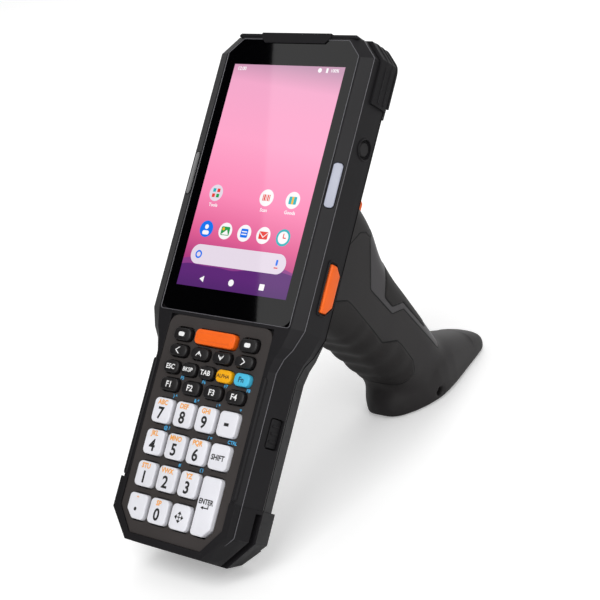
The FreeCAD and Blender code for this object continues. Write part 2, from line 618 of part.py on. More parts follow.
# Port connector: a shell with an open mouth and a tongue inside
def portSocket():
    low = ("portFloor + 0.1 - socketDeep", "socketMiddle - socketWide / 2", "socketLow")
    high = ("portFloor + 0.1", "socketMiddle + socketWide / 2", "socketLow + socketHigh")
    outer = box("socketOuter", low, high)
    inner = box("socketInner", (low[0] + " + socketBack", low[1] + " + socketShell", low[2] + " + socketShell"),
                (high[0] + " + 1", high[1] + " - socketShell", high[2] + " - socketShell"))
    middle = "socketLow + socketHigh / 2"
    tongue = box("socketTongue",
                 (low[0] + " + socketBack / 2", low[1] + " + tongueInset", middle + " - tongueHigh / 2"),
                 (high[0] + " - tongueShort", high[1] + " - tongueInset", middle + " + tongueHigh / 2"))
    shell = boolean("Cut", "socketShellCut", outer, inner)
    keep(boolean("Fuse", "usb_connector", shell, tongue), "usb_connector")


# Battery pack, its door and the sliding latch in the door
def batteryPieces():
    pack = box("battery_pack",
               ("-batteryHalf", "doorBottom + doorLedge + batteryGap", "-caseDepth + doorThick"),
               ("batteryHalf", "doorTop - doorLedge - batteryGap", "-caseDepth + doorThick + batteryDeep"))
    keep(pack, "battery_pack")
    body = newBody("doorPlate")
    plate = rectangle("-doorHalf", "doorBottom", "doorHalf", "doorTop")
    pad(body, outline(body, "doorEdge", plate, "-caseDepth"), "doorThick")
    track = rectangle("-latchHalf - latchFit", "latchTop - latchLong - latchTravel - latchFit",
                      "latchHalf + latchFit", "latchTop + latchFit")
    pocket(body, outline(body, "latchTrack", track, "-caseDepth"), "latchSunk", True)
    keep(body, "battery_door")
    body = newBody("latchSlide")
    face = "-caseDepth + latchSunk - latchFit"
    slide = rectangle("-latchHalf", "latchTop - latchLong - latchTravel", "latchHalf",
                      "latchTop - latchTravel")
    pad(body, outline(body, "latchEdge", slide, face + " - latchThick"), "latchThick")
    middle = "latchTop - latchTravel - latchLong / 2"
    ribs = [rectangle("-latchHalf + ribInset", "%s + %d * ribPitch - ribWide / 2" % (middle, step),
                      "latchHalf - ribInset", "%s + %d * ribPitch + ribWide / 2" % (middle, step))
            for step in (1, 0, -1)]
    sketch = newSketch(body, "latchRibs", offset=face + " - latchThick - ribHigh")
    drawLoops(sketch, ribs)
    pad(body, sketch, "ribHigh")
    keep(body, "battery_latch")


def scanPieces():
    window = box("scan_window", ("-windowHalf", "windowSeat", "windowBack"),
                 ("windowHalf", "windowSeat + windowThick", "windowFront"))
    keep(window, "scan_window")
    body = newBody("engineBlock")
    floor = "-caseDepth + rearFloor"
    base = rectangle("-engineHalf", "cavityTop - engineGap - engineLong", "engineHalf",
                     "cavityTop - engineGap")
    pad(body, outline(body, "engineEdge", base, floor), "engineTall")
    eye = rectangle("-engineHalf + engineEyeSide", floor + " + engineEyeLow", "engineHalf - engineEyeSide",
                    floor + " + engineTall - engineEyeHigh")
    pocket(body, outline(body, "engineEye", eye, "-cavityTop", "XZ_Plane"), "engineEyeDeep", True)
    keep(body, "scan_engine")


# Housing screws: six alike, each a pan head on a shank
def housingScrews():
    screws = []
    number = 0
    for side in ("", "-"):
        for x, y in (("cornerScrewX", "cornerScrewY"), ("neckScrewX", "neckScrewY"),
                     ("tailScrewX", "tailScrewY")):
            number = number + 1
            head = doc.addObject("Part::Cylinder", "screwHead%d" % number)
            head.setExpression("Radius", bound("screwHeadRadius"))
            head.setExpression("Height", bound("screwHeadThick"))
            shank = doc.addObject("Part::Cylinder", "screwShank%d" % number)
            shank.setExpression("Radius", bound("screwRadius"))
            shank.setExpression("Height", bound("screwLong"))
            for piece, z in ((head, "screwSeat - screwHeadThick"), (shank, "screwSeat")):
                piece.setExpression("Placement.Base.x", bound(side + x))
                piece.setExpression("Placement.Base.y", bound(y))
                piece.setExpression("Placement.Base.z", bound(z))
            screws.append(boolean("Fuse", "screw%d" % number, head, shank))
    group = doc.addObject("Part::Compound", "screwSet")
    group.Links = screws
    keep(group, "housing_screws")


# The case's outer form, grown or not, as a tool for what is fitted round it
def caseForm(name, grow="0"):
    body = newBody(name)
    caseLoft(body, ("Back", "Split", "Side", "Rim", "Face"), grow)
    return body


# Top bumper: a band round the top end, with a tongue that laps over the glass
def topBumper(form):
    grown = caseForm("topBumperForm", "bumperProud")
    zone = box("topBumperZone", ("-farOut", "topBumperEnd", "topBumperBack"),
               ("farOut", "farOut", "topBumperFront"))
    band = boolean("Common", "topBumperBlock", grown, zone)
    body = newBody("bumperTongue")
    tongue = mirrored([
        ("tongueHalf - tongueSlant", "tongueReach"),
        ("tongueHalf", "tongueReach + tongueSlant"),
        ("tongueHalf", "sideTop + bumperProud"),
    ])
    pad(body, outline(body, "tongueEdge", tongue, "topBumperFront - 1"), "tongueProud + 1 - topBumperFront")
    whole = boolean("Fuse", "topBumperWhole", band, body)
    mouth = box("scanMouth", ("-scanMouthHalf", "0", "-farOut"), ("scanMouthHalf", "farOut", "scanMouthFront"))
    keep(cut("top_bumper", whole, form, mouth), "top_bumper")


# Tail bumper: a boot round the tail, with a lip round the panel, a back plate and the strap slots
def tailBumper(form):
    body = newBody("tailBlock")
    corners = mirrored([
        ("sideKeyHalf + bumperProud - tailTrim", "tailBumperEnd"),
        ("sideKeyHalf + bumperProud - tailTrim", "tailShoulder"),
        ("sideKeyHalf + bumperProud - tailTrim - tailCut", "sideTail - bumperProud"),
    ])
    low = outline(body, "tailMiddle", corners, "-sideDepth")
    narrow = mirrored([
        ("faceKeyHalf + bumperProud", "tailBumperEnd"),
        ("faceKeyHalf + bumperProud", "tailShoulder"),
        ("faceKeyHalf + bumperProud - tailCut", "faceTail - bumperProud"),
    ])
    high = outline(body, "tailFace", narrow, "tailLip")
    back = mirrored([
        ("backKeyHalf + bumperProud", "tailBumperEnd"),
        ("backKeyHalf + bumperProud", "tailShoulder"),
        ("backKeyHalf + bumperProud - tailCut", "backTail - bumperProud"),
    ])
    rear = outline(body, "tailBack", back, "tailBumperBack")
    loft(body, [rear, low, high])
    front = newBody("panelForm")
    pad(front, outline(front, "panelFormEdge", panelOutline("seatGap"), "-panelThick"), "2 * panelThick")
    plate = box("tailPlateZone", ("-farOut", "tailPlateEnd", "tailBumperBack - 1"),
                ("farOut", "neckStart", "-caseDepth"))
    slots = newBody("strapSlots")
    sketch = newSketch(slots, "strapSlotPair", offset="strapSlotBack")
    drawLoops(sketch, [strapOutline(""), strapOutline("-")])
    pad(slots, sketch, "strapSlotFront - strapSlotBack")
    keep(cut("tail_bumper", body, form, front, plate, slots), "tail_bumper")


# Cross-section of the grip: flat sides, front and rear, with corners turned in two sides. The corners keep
# one size down the grip, so all its faces are flat
def gripSection(front, rear, half, inset="0"):
    side = "%s - %s" % (half, inset)
    front = "%s - %s" % (front, inset)
    rear = "%s + %s" % (rear, inset)
    return mirrored([
        (side + " - turnWide", front),
        (side + " - turnNear", front + " - turnShort"),
        (side, front + " - turnLong"),
        (side, rear + " + turnLong"),
        (side + " - turnNear", rear + " + turnShort"),
        (side + " - turnWide", rear),
    ])


def gripColumn(name, inset="0"):
    body = newBody(name)
    sections = []
    for station in ("Top", "Guard", "Neck", "Waist", "Ankle", "Foot"):
        section = gripSection("front" + station, "rear" + station, "half" + station, inset)
        sections.append(outline(body, name + station, section, "depth" + station))
    loft(body, sections)
    return body


# A region of the grip, drawn from the side and as wide as the grip
def gripRegion(name, corners):
    body = newBody(name)
    pad(body, outline(body, name + "Side", corners, "-farOut / 2", "YZ_Plane"), "farOut")
    return body


# The foot stands on the floor, so it is drawn along the floor and up from it
def footForm():
    angle = amount("lean") - 90
    turn = FreeCAD.Rotation(FreeCAD.Vector(1, 0, 0), angle)
    below = FreeCAD.Vector(0, -amount("soleDrop"), 0)
    low = FreeCAD.Rotation(FreeCAD.Vector(1, 0, 0), amount("lean")).multVec(below)
    side = newBody("footSide")
    profile = [
        ("footToe + 2", "0"), ("footLength", "0"), ("footLength", "2.4"), ("footLength - 5.4", "7.6"),
        ("65", "22.8"), ("58", "22"), ("44", "26"), ("27", "19"), ("footToe + 2", "16"), ("footToe", "12"),
        ("footToe", "3"),
    ]
    pad(side, outline(side, "footProfile", profile, "-farOut / 2", "YZ_Plane"), "farOut")
    plan = newBody("footPlan")
    half = [
        ("0.70 * footHalf", "footToe"), ("0.86 * footHalf", "footToe + 3"), ("footHalf", "footToe + 13"),
        ("footHalf", "footToe + 22"), ("0.92 * footHalf", "footToe + 29"),
        ("0.81 * footHalf", "footToe + 39"), ("0.64 * footHalf", "footToe + 58.5"),
        ("heelHalf", "footLength - 5"), ("0.5 * heelHalf", "footLength"),
    ]
    corners = half + [("-(%s)" % x, y) for x, y in reversed(half)]
    pad(plan, outline(plan, "footPlanEdge", corners, "0"), "farOut")
    foot = boolean("Common", "footBlock", side, plan)
    bar = barX("cordBar", "-farOut / 2", "cordHoleAlong", "cordHoleUp", "cordHoleRadius", "farOut")
    hole = boolean("Common", "cordHole", bar, plan)
    for piece in (foot, hole):
        piece.Placement = FreeCAD.Placement(low, turn)
    return foot, hole


def gripPieces():
    outer = gripColumn("gripOuter")
    inner = gripColumn("gripInner", "skin")
    shell = boolean("Cut", "gripSkin", outer, inner)
    foot, cordHole = footForm()
    well = box("triggerWell", ("-wellHalf", "wellBack", "wellEnd"), ("wellHalf", "0", "wellStart"))
    bore = barX("pinBore", "-pinHalf - seatGap", "pivotY", "pivotZ", "pinRadius + pinSeat",
                "2 * pinHalf + 2 * seatGap")
    collarZone = gripRegion("collarZone", [
        ("-72", "depthTop + 1"), ("-72", "-36"), ("-57.8", "-45.9"), ("-52.8", "-49.9"), ("-51.4", "-54"),
        ("-53", "-57.4"), ("-44", "-61.6"), ("-20", "-61.6"), ("-20", "depthTop + 1"),
    ])
    rearZone = gripRegion("rubberZone", [
        ("-86", "depthTop + 1"), ("-83.4", "-45.5"), ("-81.2", "-52.6"), ("-81.8", "-56"), ("-91.2", "-86.2"),
        ("-87.9", "-95.6"), ("-88.7", "-100.1"), ("-93", "-111.9"), ("-98", "-119"), ("-125", "-119"),
        ("-125", "depthTop + 1"),
    ])
    spineZone = gripRegion("spineZone", [
        ("-44", "-61.9"), ("-53", "-57.7"), ("-72.8", "-66.7"), ("-78.1", "-87"), ("-73.9", "-94.7"),
        ("-83.2", "-130.8"), ("-76", "-134"), ("-30", "-134"), ("-30", "-61.9"),
    ])
    padZone = gripRegion("fingerZone", [
        ("-50", "-76"), ("-63.4", "-75.6"), ("-72.9", "-78.6"), ("-75.1", "-85.7"), ("-71.2", "-93.5"),
        ("-77.2", "-116.5"), ("-60", "-119"), ("-30", "-119"), ("-30", "-76"),
    ])
    collar = boolean("Common", "collarWhole", outer, collarZone)
    keep(cut("grip_collar", collar, well, bore), "grip_collar")
    rubber = boolean("Common", "rubberWhole", shell, rearZone)
    rubberPiece = boolean("Cut", "grip_rear_rubber", rubber, foot)
    keep(rubberPiece, "grip_rear_rubber")
    front = boolean("Common", "spineWhole", shell, spineZone)
    spine = cut("grip_front_spine", front, padZone, well, foot)
    keep(spine, "grip_front_spine")
    finger = boolean("Common", "fingerWhole", front, padZone)
    keep(cut("grip_finger_pad", finger, foot), "grip_finger_pad")
    whole = boolean("Fuse", "gripWhole", outer, foot)
    rubberRoom = boolean("Common", "rubberRoom", shell, rearZone)
    spineRoom = boolean("Common", "spineRoom", shell, spineZone)
    core = cut("grip_core", whole, collarZone, rubberRoom, spineRoom, well, cordHole)
    keep(core, "grip_core")


# Trigger: a curved blade with its hub on the pin, and the return spring beside the hub
def triggerPieces():
    body = newBody("triggerBlade")
    blade = [
        ("pivotY + 4.4", "pivotZ + 3.4"), ("pivotY - 3.6", "pivotZ + 3.4"), ("pivotY - 5.4", "pivotZ - 4"),
        ("pivotY - 5.4", "triggerTip + 2"), ("pivotY - 3.6", "triggerTip"),
        ("frontGuard + 0.9", "triggerTip"),
        ("frontGuard + 1.7", "triggerTip + 3"), ("pivotY + 3.6", "pivotZ - 16"),
        ("pivotY + 4.9", "pivotZ - 6"),
    ]
    pad(body, outline(body, "bladeSide", blade, "-triggerHalf", "YZ_Plane"), "2 * triggerHalf")
    bore = barX("triggerBore", "-pinHalf", "pivotY", "pivotZ", "pinRadius + pinGap", "2 * pinHalf")
    room = barX("springRoom", "springStart - springSpace", "pivotY", "pivotZ",
                "springOuter + springSpace", "pinHalf")
    keep(cut("trigger", body, bore, room), "trigger")
    pin = barX("trigger_pin", "-pinHalf", "pivotY", "pivotZ", "pinRadius", "2 * pinHalf")
    keep(pin, "trigger_pin")
    coil = barX("springCoil", "springStart", "pivotY", "pivotZ", "springOuter", "2 * springHalf")
    hollow = barX("springHollow", "springStart - 1", "pivotY", "pivotZ", "pinRadius + seatGap", "pinHalf")
    keep(boolean("Cut", "trigger_spring", coil, hollow), "trigger_spring")


# Sizes that follow from the others get cells of their own, as formulas
derived = {
    "keyFoot": "=matThick + matGap + keyTravel - glassThick - displayThick",
    "boardFace": "=-glassThick - displayThick",
    "socketMiddle": "=(portTop + portBottom) / 2",
    "socketLow": "=-glassThick - displayThick - boardThick - socketHigh",
}
for name, formula in derived.items():
    row = row + 1
    sheet.set("A%d" % row, name)
    sheet.set("B%d" % row, formula)
    sheet.setAlias("B%d" % row, name)
    aliases.add(name)
doc.recompute()

frontHousing()
rearHousing()
glassAndDisplay()
keypadPanel()
for plan in keyPlan():
    key(*plan)
matAndBoard()
wholeForm = caseForm("wholeForm")
lightWindow(wholeForm)
sideButton("rightButton", "scan_button_right", False)
sideButton("leftButton", "scan_button_left", True)
powerButton()
portCover()
portSocket()
batteryPieces()
scanPieces()
housingScrews()
topBumper(wholeForm)
tailBumper(wholeForm)
gripPieces()
triggerPieces()
doc.recompute()

# The stance: the terminal leans on its sole and tail, with the origin under the middle of its box
lean = FreeCAD.Rotation(FreeCAD.Vector(1, 0, 0), 90 - amount("lean"))
reach = FreeCAD.BoundBox()
for node in nodes:
    turned = node.Shape.copy()
    turned.Placement = FreeCAD.Placement(FreeCAD.Vector(), lean).multiply(turned.Placement)
    reach.add(turned.optimalBoundingBox(False, False))
shift = FreeCAD.Vector(-reach.Center.x, -reach.Center.y, -reach.ZMin)
stance = FreeCAD.Placement(shift, lean)
print("stance shift", [round(value, 4) for value in shift])
for node in nodes:
    node.Placement = stance.multiply(node.Placement)
doc.recompute()

for item in doc.Objects:
    if "Invalid" in item.State or "Error" in item.State:
        raise RuntimeError("failed: " + item.Name)
for node in nodes:
    if node.Shape.isNull() or not node.Shape.isValid():
        raise RuntimeError("bad shape: " + node.Label)
os.makedirs("parts", exist_ok=True)
for node in nodes:
    node.Shape.exportStep("parts/%s.step" % node.Label)
    print(node.Label, len(node.Shape.Solids), round(node.Shape.Volume, 1))
print(len(nodes), "nodes")
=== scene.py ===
# A rugged barcode data terminal on its pistol grip: finishes, smooth skins, key caps and the lit screen
import json
import math

import bmesh
import bpy
import numpy as np
from mathutils import Matrix, Vector

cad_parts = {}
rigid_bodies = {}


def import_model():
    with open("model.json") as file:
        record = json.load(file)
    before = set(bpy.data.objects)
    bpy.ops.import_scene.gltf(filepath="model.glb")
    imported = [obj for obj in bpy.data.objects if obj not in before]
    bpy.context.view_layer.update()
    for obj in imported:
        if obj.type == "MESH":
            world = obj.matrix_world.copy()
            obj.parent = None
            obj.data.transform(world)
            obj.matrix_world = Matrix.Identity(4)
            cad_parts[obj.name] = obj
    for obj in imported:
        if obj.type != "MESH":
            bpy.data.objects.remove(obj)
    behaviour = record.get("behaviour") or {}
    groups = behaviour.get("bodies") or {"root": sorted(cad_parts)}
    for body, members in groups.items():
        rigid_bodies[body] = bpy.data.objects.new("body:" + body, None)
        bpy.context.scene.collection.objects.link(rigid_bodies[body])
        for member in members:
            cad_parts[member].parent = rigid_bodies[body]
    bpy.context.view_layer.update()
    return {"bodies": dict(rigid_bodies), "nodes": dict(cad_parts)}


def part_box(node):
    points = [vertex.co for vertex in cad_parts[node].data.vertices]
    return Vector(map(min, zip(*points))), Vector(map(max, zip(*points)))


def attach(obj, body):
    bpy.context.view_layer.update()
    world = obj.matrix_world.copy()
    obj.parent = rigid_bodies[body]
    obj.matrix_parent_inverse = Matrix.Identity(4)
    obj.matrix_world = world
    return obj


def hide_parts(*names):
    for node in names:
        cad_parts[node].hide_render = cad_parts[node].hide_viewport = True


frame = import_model()
print("frame loaded:", len(frame["nodes"]), "nodes")

# The terminal's own frame: x across, y towards the top end, z out of the display, in millimetres,
# with the origin at the middle of the display's top edge. The glass says where that is in the row frame
stance = {"lean": 39.0, "glassTop": 11.0, "glassBottom": -104.0, "millimetre": 0.001}
mm = stance["millimetre"]
leanAngle = math.radians(stance["lean"])
glassLow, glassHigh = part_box("touch_glass")
directions = np.array([
    (1, 0, 0),
    (0, math.sin(leanAngle), math.cos(leanAngle)),
    (0, -math.cos(leanAngle), math.sin(leanAngle)),
])
origin = np.array([
    0,
    glassLow.y - math.sin(leanAngle) * stance["glassBottom"] * mm,
    glassHigh.z - math.cos(leanAngle) * stance["glassTop"] * mm,
])


# Points of the terminal's own frame, turned by the lean and moved to the origin, in metres
def place(points):
    return origin + np.asarray(points, float) * mm @ directions


# 8-bit display colour to the linear colour that Blender works with
def tint(red, green, blue):
    value = np.array((red, green, blue)) / 255
    linear = np.where(value > 0.04045, ((value + 0.055) / 1.055) ** 2.4, value / 12.92)
    return (*[float(part) for part in linear], 1.0)


# A wire is a socket of a material's tree. Sums, differences and products of wires add Math nodes
class Wire:
    def __init__(self, tree, socket=None):
        self.tree = tree
        self.socket = socket

    # Any node: its type, its settings, the values or links of its sockets, and which output is wanted
    def node(self, kind, settings=None, inputs=None, output=0):
        made = self.tree.nodes.new("ShaderNode" + kind)
        for name, value in (settings or {}).items():
            if name == "stops":
                while len(made.color_ramp.elements) < len(value):
                    made.color_ramp.elements.new(1.0)
                for element, (position, colour) in zip(made.color_ramp.elements, value):
                    element.position = position
                    element.color = colour
            else:
                setattr(made, name, value)
        for name, value in (inputs or {}).items():
            if isinstance(value, Wire):
                self.tree.links.new(value.socket, made.inputs[name])
            else:
                made.inputs[name].default_value = value
        return Wire(self.tree, made.outputs[output])

    # One Math node; the values fill its sockets in order
    def math(self, operation, *values):
        return self.node("Math", {"operation": operation}, dict(enumerate(values)))

    def __add__(self, other):
        return self.math("ADD", self, other)

    __radd__ = __add__

    def __sub__(self, other):
        return self.math("SUBTRACT", self, other)

    def __rsub__(self, other):
        return self.math("SUBTRACT", other, self)

    def __mul__(self, other):
        return self.math("MULTIPLY", self, other)

    # 0 below low, 1 above high and a soft step between
    def step(self, low, high):
        return self.node("MapRange", {"interpolation_type": "SMOOTHSTEP"},
                         {"Value": self, "From Min": low, "From Max": high})

    # Colour of this factor between two colours
    def blend(self, first, second):
        return self.node("Mix", {"data_type": "RGBA"}, {0: self, 6: first, 7: second}, 2)


# A material, its shader, and a wire that adds nodes to its tree
def newMaterial(name):
    material = bpy.data.materials.new(name)
    material.use_nodes = True
    tree = material.node_tree
    return material, tree.nodes["Principled BSDF"], Wire(tree)


# The shader's sockets by name: a wire is linked, a value is set as it is
def connect(shader, **sockets):
    for name, value in sockets.items():
        socket = shader.inputs[name.replace("_", " ")]
        if isinstance(value, Wire):
            value.tree.links.new(value.socket, socket)
        else:
            socket.default_value = value


# Colour, roughness, strength and size of the grain, and shine of the moulded parts
plasticLooks = {
    "casePlastic": (tint(27, 26, 28), 0.44, 0.30, 0.45, 0.13),
    "bumperRubber": (tint(25, 24, 26), 0.50, 0.35, 0.6, 0.13),
    "gripPlastic": (tint(36, 35, 36), 0.52, 0.35, 0.5, 0.16),
    "panelPlastic": (tint(60, 56, 55), 0.58, 0.22, 0.3, 0.14),
    # A pale grey: on the beads along the glass and rim edges it is a painted highlight, and on the power button's
    # bar it is the mark's own colour
    "edgeLine": (tint(92, 91, 96), 0.34, 0.05, 0.4, 0.5),
    "seamLine": (tint(8, 8, 9), 0.70, 0.05, 0.4, 0.05),
    "keyBlack": (tint(24, 22, 23), 0.38, 0.10, 0.3, 0.30),
    "keyWhite": (tint(232, 232, 238), 0.42, 0.05, 0.3, 0.35),
    "keyOrange": (tint(255, 104, 22), 0.42, 0.05, 0.3, 0.25),
    "keyYellow": (tint(250, 176, 8), 0.42, 0.05, 0.3, 0.25),
    "keyCyan": (tint(76, 190, 226), 0.42, 0.05, 0.3, 0.25),
    "blackFilm": (tint(10, 10, 12), 0.30, 0.02, 0.5, 0.5),
    "matRubber": (tint(120, 120, 122), 0.70, 0.10, 0.5, 0.3),
    "batteryWrap": (tint(48, 48, 56), 0.35, 0.05, 1.0, 0.5),
}
# How the finishes vary: slow noise over centimetres, fine noise over tenths of a millimetre
variation = {
    "slowScale": 55.0, "darker": 0.86, "lighter": 1.12, "deep": 0.06, "edge": 0.35, "glossDown": 0.06,
    "glossSlow": 0.10, "glossFine": 0.04, "plainDarker": 0.92, "plainGloss": 0.08, "plainGrain": 0.4,
}


# A colour times a factor, plus a little, at most 1
def shaded(colour, factor, more=0.0):
    return (*[min(part * factor + more, 1) for part in colour[:3]], 1.0)


# Noise in the piece's own coordinates, its scale in cells per metre
def noise(tree, scale, detail):
    return tree.node("TexNoise", None, {"Vector": tree.node("TexCoord", output=3), "Scale": scale,
                                        "Detail": detail})


# Moulded plastic or rubber. Colour: a darker and a lighter tone, blended by slow noise. Roughness: the base less
# a little, plus a share of the slow and of the fine noise. Bump: the fine noise, over normals rounded at edges
def plastic(name, colour, rough, grain, grainSize, shine):
    v = variation
    material, shader, tree = newMaterial(name)
    fine = noise(tree, 1 / (grainSize * mm), 3.0)
    slow = noise(tree, v["slowScale"], 2.0)
    rounded = tree.node("Bevel", {"samples": 4}, {"Radius": v["edge"] * mm})
    bumped = tree.node("Bump", None, {"Strength": grain, "Distance": v["deep"] * mm, "Height": fine,
                                      "Normal": rounded})
    connect(shader, Base_Color=slow.blend(shaded(colour, v["darker"]), shaded(colour, v["lighter"], 0.001)),
            Roughness=rough - v["glossDown"] + slow * v["glossSlow"] + fine * v["glossFine"],
            Normal=bumped, Specular_IOR_Level=shine)
    return material


materials = {name: plastic(name, *look) for name, look in plasticLooks.items()}
# Colour, roughness, metal and coat of inks, metal, boards and lenses
plainLooks = {
    "inkWhite": (tint(244, 244, 244), 0.5), "inkBlack": (tint(16, 15, 16), 0.5),
    "inkOrange": (tint(252, 170, 66), 0.5), "inkCyan": (tint(70, 180, 236), 0.5),
    "inkBrown": (tint(92, 56, 10), 0.5), "inkNavy": (tint(12, 60, 84), 0.5),
    "steel": (tint(150, 150, 152), 0.32, 1.0), "board": (tint(24, 84, 52), 0.4),
    "engine": (tint(44, 44, 46), 0.5), "lightLens": (tint(150, 154, 172), 0.30, 0.0, 0.2),
    "darkLens": (tint(16, 16, 20), 0.18, 0.0, 0.5), "scanGlass": (tint(60, 6, 10), 0.08, 0.0, 1.0),
    "coverGlass": (tint(3, 3, 4), 0.03),
}


# A plain finish. Colour: a darker and the full tone, blended by fine noise. Roughness: the base plus a share of
# that noise about its middle
def plain(name, colour, rough, metal=0.0, coat=0.0):
    v = variation
    material, shader, tree = newMaterial(name)
    fine = noise(tree, 1 / (v["plainGrain"] * mm), 3.0)
    connect(shader, Base_Color=fine.blend(shaded(colour, v["plainDarker"]), colour),
            Roughness=rough + (fine - 0.5) * v["plainGloss"], Metallic=metal, Coat_Weight=coat)
    return material


materials.update({name: plain(name, *look) for name, look in plainLooks.items()})
print("finishes made")


# An object that shows the data, linked to the scene
def newObject(name, data):
    thing = bpy.data.objects.new(name, data)
    bpy.context.scene.collection.objects.link(thing)
    return thing


# Faces between the rows of a grid; wrapped closes each row on itself
def gridFaces(rows, columns, wrapped=True, start=0):
    across = columns if wrapped else columns - 1
    i, j = np.meshgrid(np.arange(rows - 1), np.arange(across), indexing="ij")
    here = i * columns + j
    beside = i * columns + (j + 1) % columns
    faces = np.stack([here, beside, beside + columns, here + columns], axis=-1).reshape(-1, 4) + start
    return faces.tolist()


# Faces of a closed stack of rings: the bands between them and a face at either end
def stackFaces(count, around):
    sides = gridFaces(count, around)
    sides.append(list(range((count - 1) * around, count * around)))
    sides.append(list(range(around))[::-1])
    return sides


# A piece of several parts, each with its points in the row frame, its faces and its material
def addPiece(name, parts, body="terminal", replaced=(), smooth=35, attributes=None):
    points = []
    faces = []
    numbers = []
    used = []
    for spots, sides, material in parts:
        if material not in used:
            used.append(material)
        start = sum(len(group) for group in points)
        points.append(np.asarray(spots, float))
        faces += [[start + corner for corner in side] for side in sides]
        numbers += [used.index(material)] * len(sides)
    mesh = bpy.data.meshes.new(name)
    mesh.from_pydata(np.concatenate(points).tolist(), [], faces)
    for material in used:
        mesh.materials.append(materials[material])
    mesh.polygons.foreach_set("material_index", numbers)
    for key, values in (attributes or {}).items():
        layer = mesh.attributes.new(key, "FLOAT", "POINT")
        layer.data.foreach_set("value", np.asarray(values, np.float32))
    mesh.update()
    mesh.shade_smooth()
    piece = newObject(name, mesh)
    if smooth:
        mesh.set_sharp_from_angle(angle=math.radians(smooth))
    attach(piece, body)
    if replaced:
        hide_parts(*replaced)
    return piece


# A vector, or each row of several, at length 1
def unit(vectors):
    return vectors / np.linalg.norm(vectors, axis=-1, keepdims=True)


# Closed loop with round corners: every corner gives an arc, as points and as outward directions
def roundLoop(corners, radius, steps=6):
    corners = np.asarray(corners, float)
    points = []
    normals = []
    for before, corner, after in zip(np.roll(corners, 1, 0), corners, np.roll(corners, -1, 0)):
        first, second = unit(corner - before), unit(after - corner)
        start = math.atan2(-first[0], first[1])
        turn = math.atan2(first[0] * second[1] - first[1] * second[0], first @ second)
        bend = radius if turn > 0 else -radius
        centre = corner - bend * math.tan(turn / 2) * first + bend * np.array((-first[1], first[0]))
        angle = start + turn * np.linspace(0, 1, steps)
        ring = np.stack([np.cos(angle), np.sin(angle)], -1)
        points.append(centre + bend * ring)
        normals.append(ring)
    return np.concatenate(points), np.concatenate(normals)


# Corners of a rectangle about its middle
def rectangle(x, y, wide, tall):
    return [(x - wide / 2, y - tall / 2), (x + wide / 2, y - tall / 2), (x + wide / 2, y + tall / 2),
            (x - wide / 2, y + tall / 2)]


# Points of a circle: the middle plus the radius times cosine and sine
def circle(x, y, radius, sides):
    angle = np.linspace(0, 2 * np.pi, sides, endpoint=False)
    return np.column_stack([x + radius * np.cos(angle), y + radius * np.sin(angle)])


# Points and faces of a mesh
def readMesh(mesh):
    spots = np.zeros(len(mesh.vertices) * 3)
    mesh.vertices.foreach_get("co", spots)
    return spots.reshape(-1, 3), [list(polygon.vertices) for polygon in mesh.polygons]


# The mesh of an object after its modifiers
def settled(thing):
    return bpy.data.meshes.new_from_object(thing.evaluated_get(bpy.context.evaluated_depsgraph_get()))


wordShapes = {}


# Flat outline of a word from the built-in font at letter size 1, with its middle at the origin
def wordShape(text, bold):
    if (text, bold) not in wordShapes:
        curve = bpy.data.curves.new("word", "FONT")
        curve.body = text
        curve.align_x = "CENTER"
        curve.align_y = "CENTER"
        curve.resolution_u = 3
        curve.offset = bold
        holder = newObject("word", curve)
        mesh = settled(holder)
        spots, sides = readMesh(mesh)
        spots = spots[:, :2]
        wordShapes[text, bold] = (spots - (spots.max(0) + spots.min(0)) / 2, sides)
        bpy.data.objects.remove(holder)
        bpy.data.curves.remove(curve)
        bpy.data.meshes.remove(mesh)
    return wordShapes[text, bold]


# A word of a given letter size at a place in the terminal's frame, lying at height(x, y)
def word(text, x, y, size, height, material, stretch=1.0, bold=0.022):
    spots, sides = wordShape(text, bold)
    flat = spots * (size * stretch, size) + (x, y)
    lifted = np.column_stack([flat, height(flat[:, 0], flat[:, 1])])
    return place(lifted), sides, material


# Terminal-frame points of a plan whose columns are the loop's two coordinates and the height above it
def turned(plan, axis):
    return plan if axis == "z" else np.column_stack([plan[:, 2], plan[:, 0], plan[:, 1]])


# Points of a loop, all at one height
def atHeight(loop, height):
    return np.column_stack([loop, np.full(len(loop), height)])


# A plate: its loop is carried from low to high, and both edges are turned over a quarter circle.
# Along z the loop is (x, y); along x it is (y, z)
def slab(loop, outward, low, high, edge, material, axis="z", lift=None):
    turn = np.linspace(0, np.pi / 2, 5)
    inset = np.concatenate([edge * (1 - np.sin(turn)), edge * (1 - np.cos(turn))])
    height = np.concatenate([low + edge * (1 - np.cos(turn)), high - edge * (1 - np.sin(turn))])
    rows = [atHeight(loop - outward * away, z) for away, z in zip(inset, height)]
    plan = np.concatenate(rows)
    if lift:
        plan[:, 2] += lift(plan[:, 0], plan[:, 1])
    return place(turned(plan, axis)), stackFaces(len(rows), len(loop)), material


# A slab over a rectangle with round corners
def block(x, y, wide, tall, bend, low, high, edge, material, axis="z"):
    loop, outward = roundLoop(rectangle(x, y, wide, tall), bend)
    return slab(loop, outward, low, high, edge, material, axis)


# A round bead along a path: circles of one radius in the planes across the path. A closed path meets itself
def bead(path, radius, material, closed=True, around=8):
    path = np.asarray(path, float)
    askew = (0.12, 0.23, 0.97)      # a direction that no path follows
    ahead = np.roll(path, -1, 0) - np.roll(path, 1, 0) if closed else np.gradient(path, axis=0)
    ahead = unit(ahead)
    aside = unit(np.cross(ahead, askew))
    upward = np.cross(ahead, aside)
    angle = np.linspace(0, 2 * np.pi, around, endpoint=False)[:, None]
    rings = path[:, None] + radius * (np.cos(angle) * aside[:, None] + np.sin(angle) * upward[:, None])
    if closed:
        total = len(path) * around
        sides = [[corner % total for corner in side] for side in gridFaces(len(path) + 1, around)]
    else:
        sides = stackFaces(len(path), around)
    return place(rings.reshape(-1, 3)), sides, material


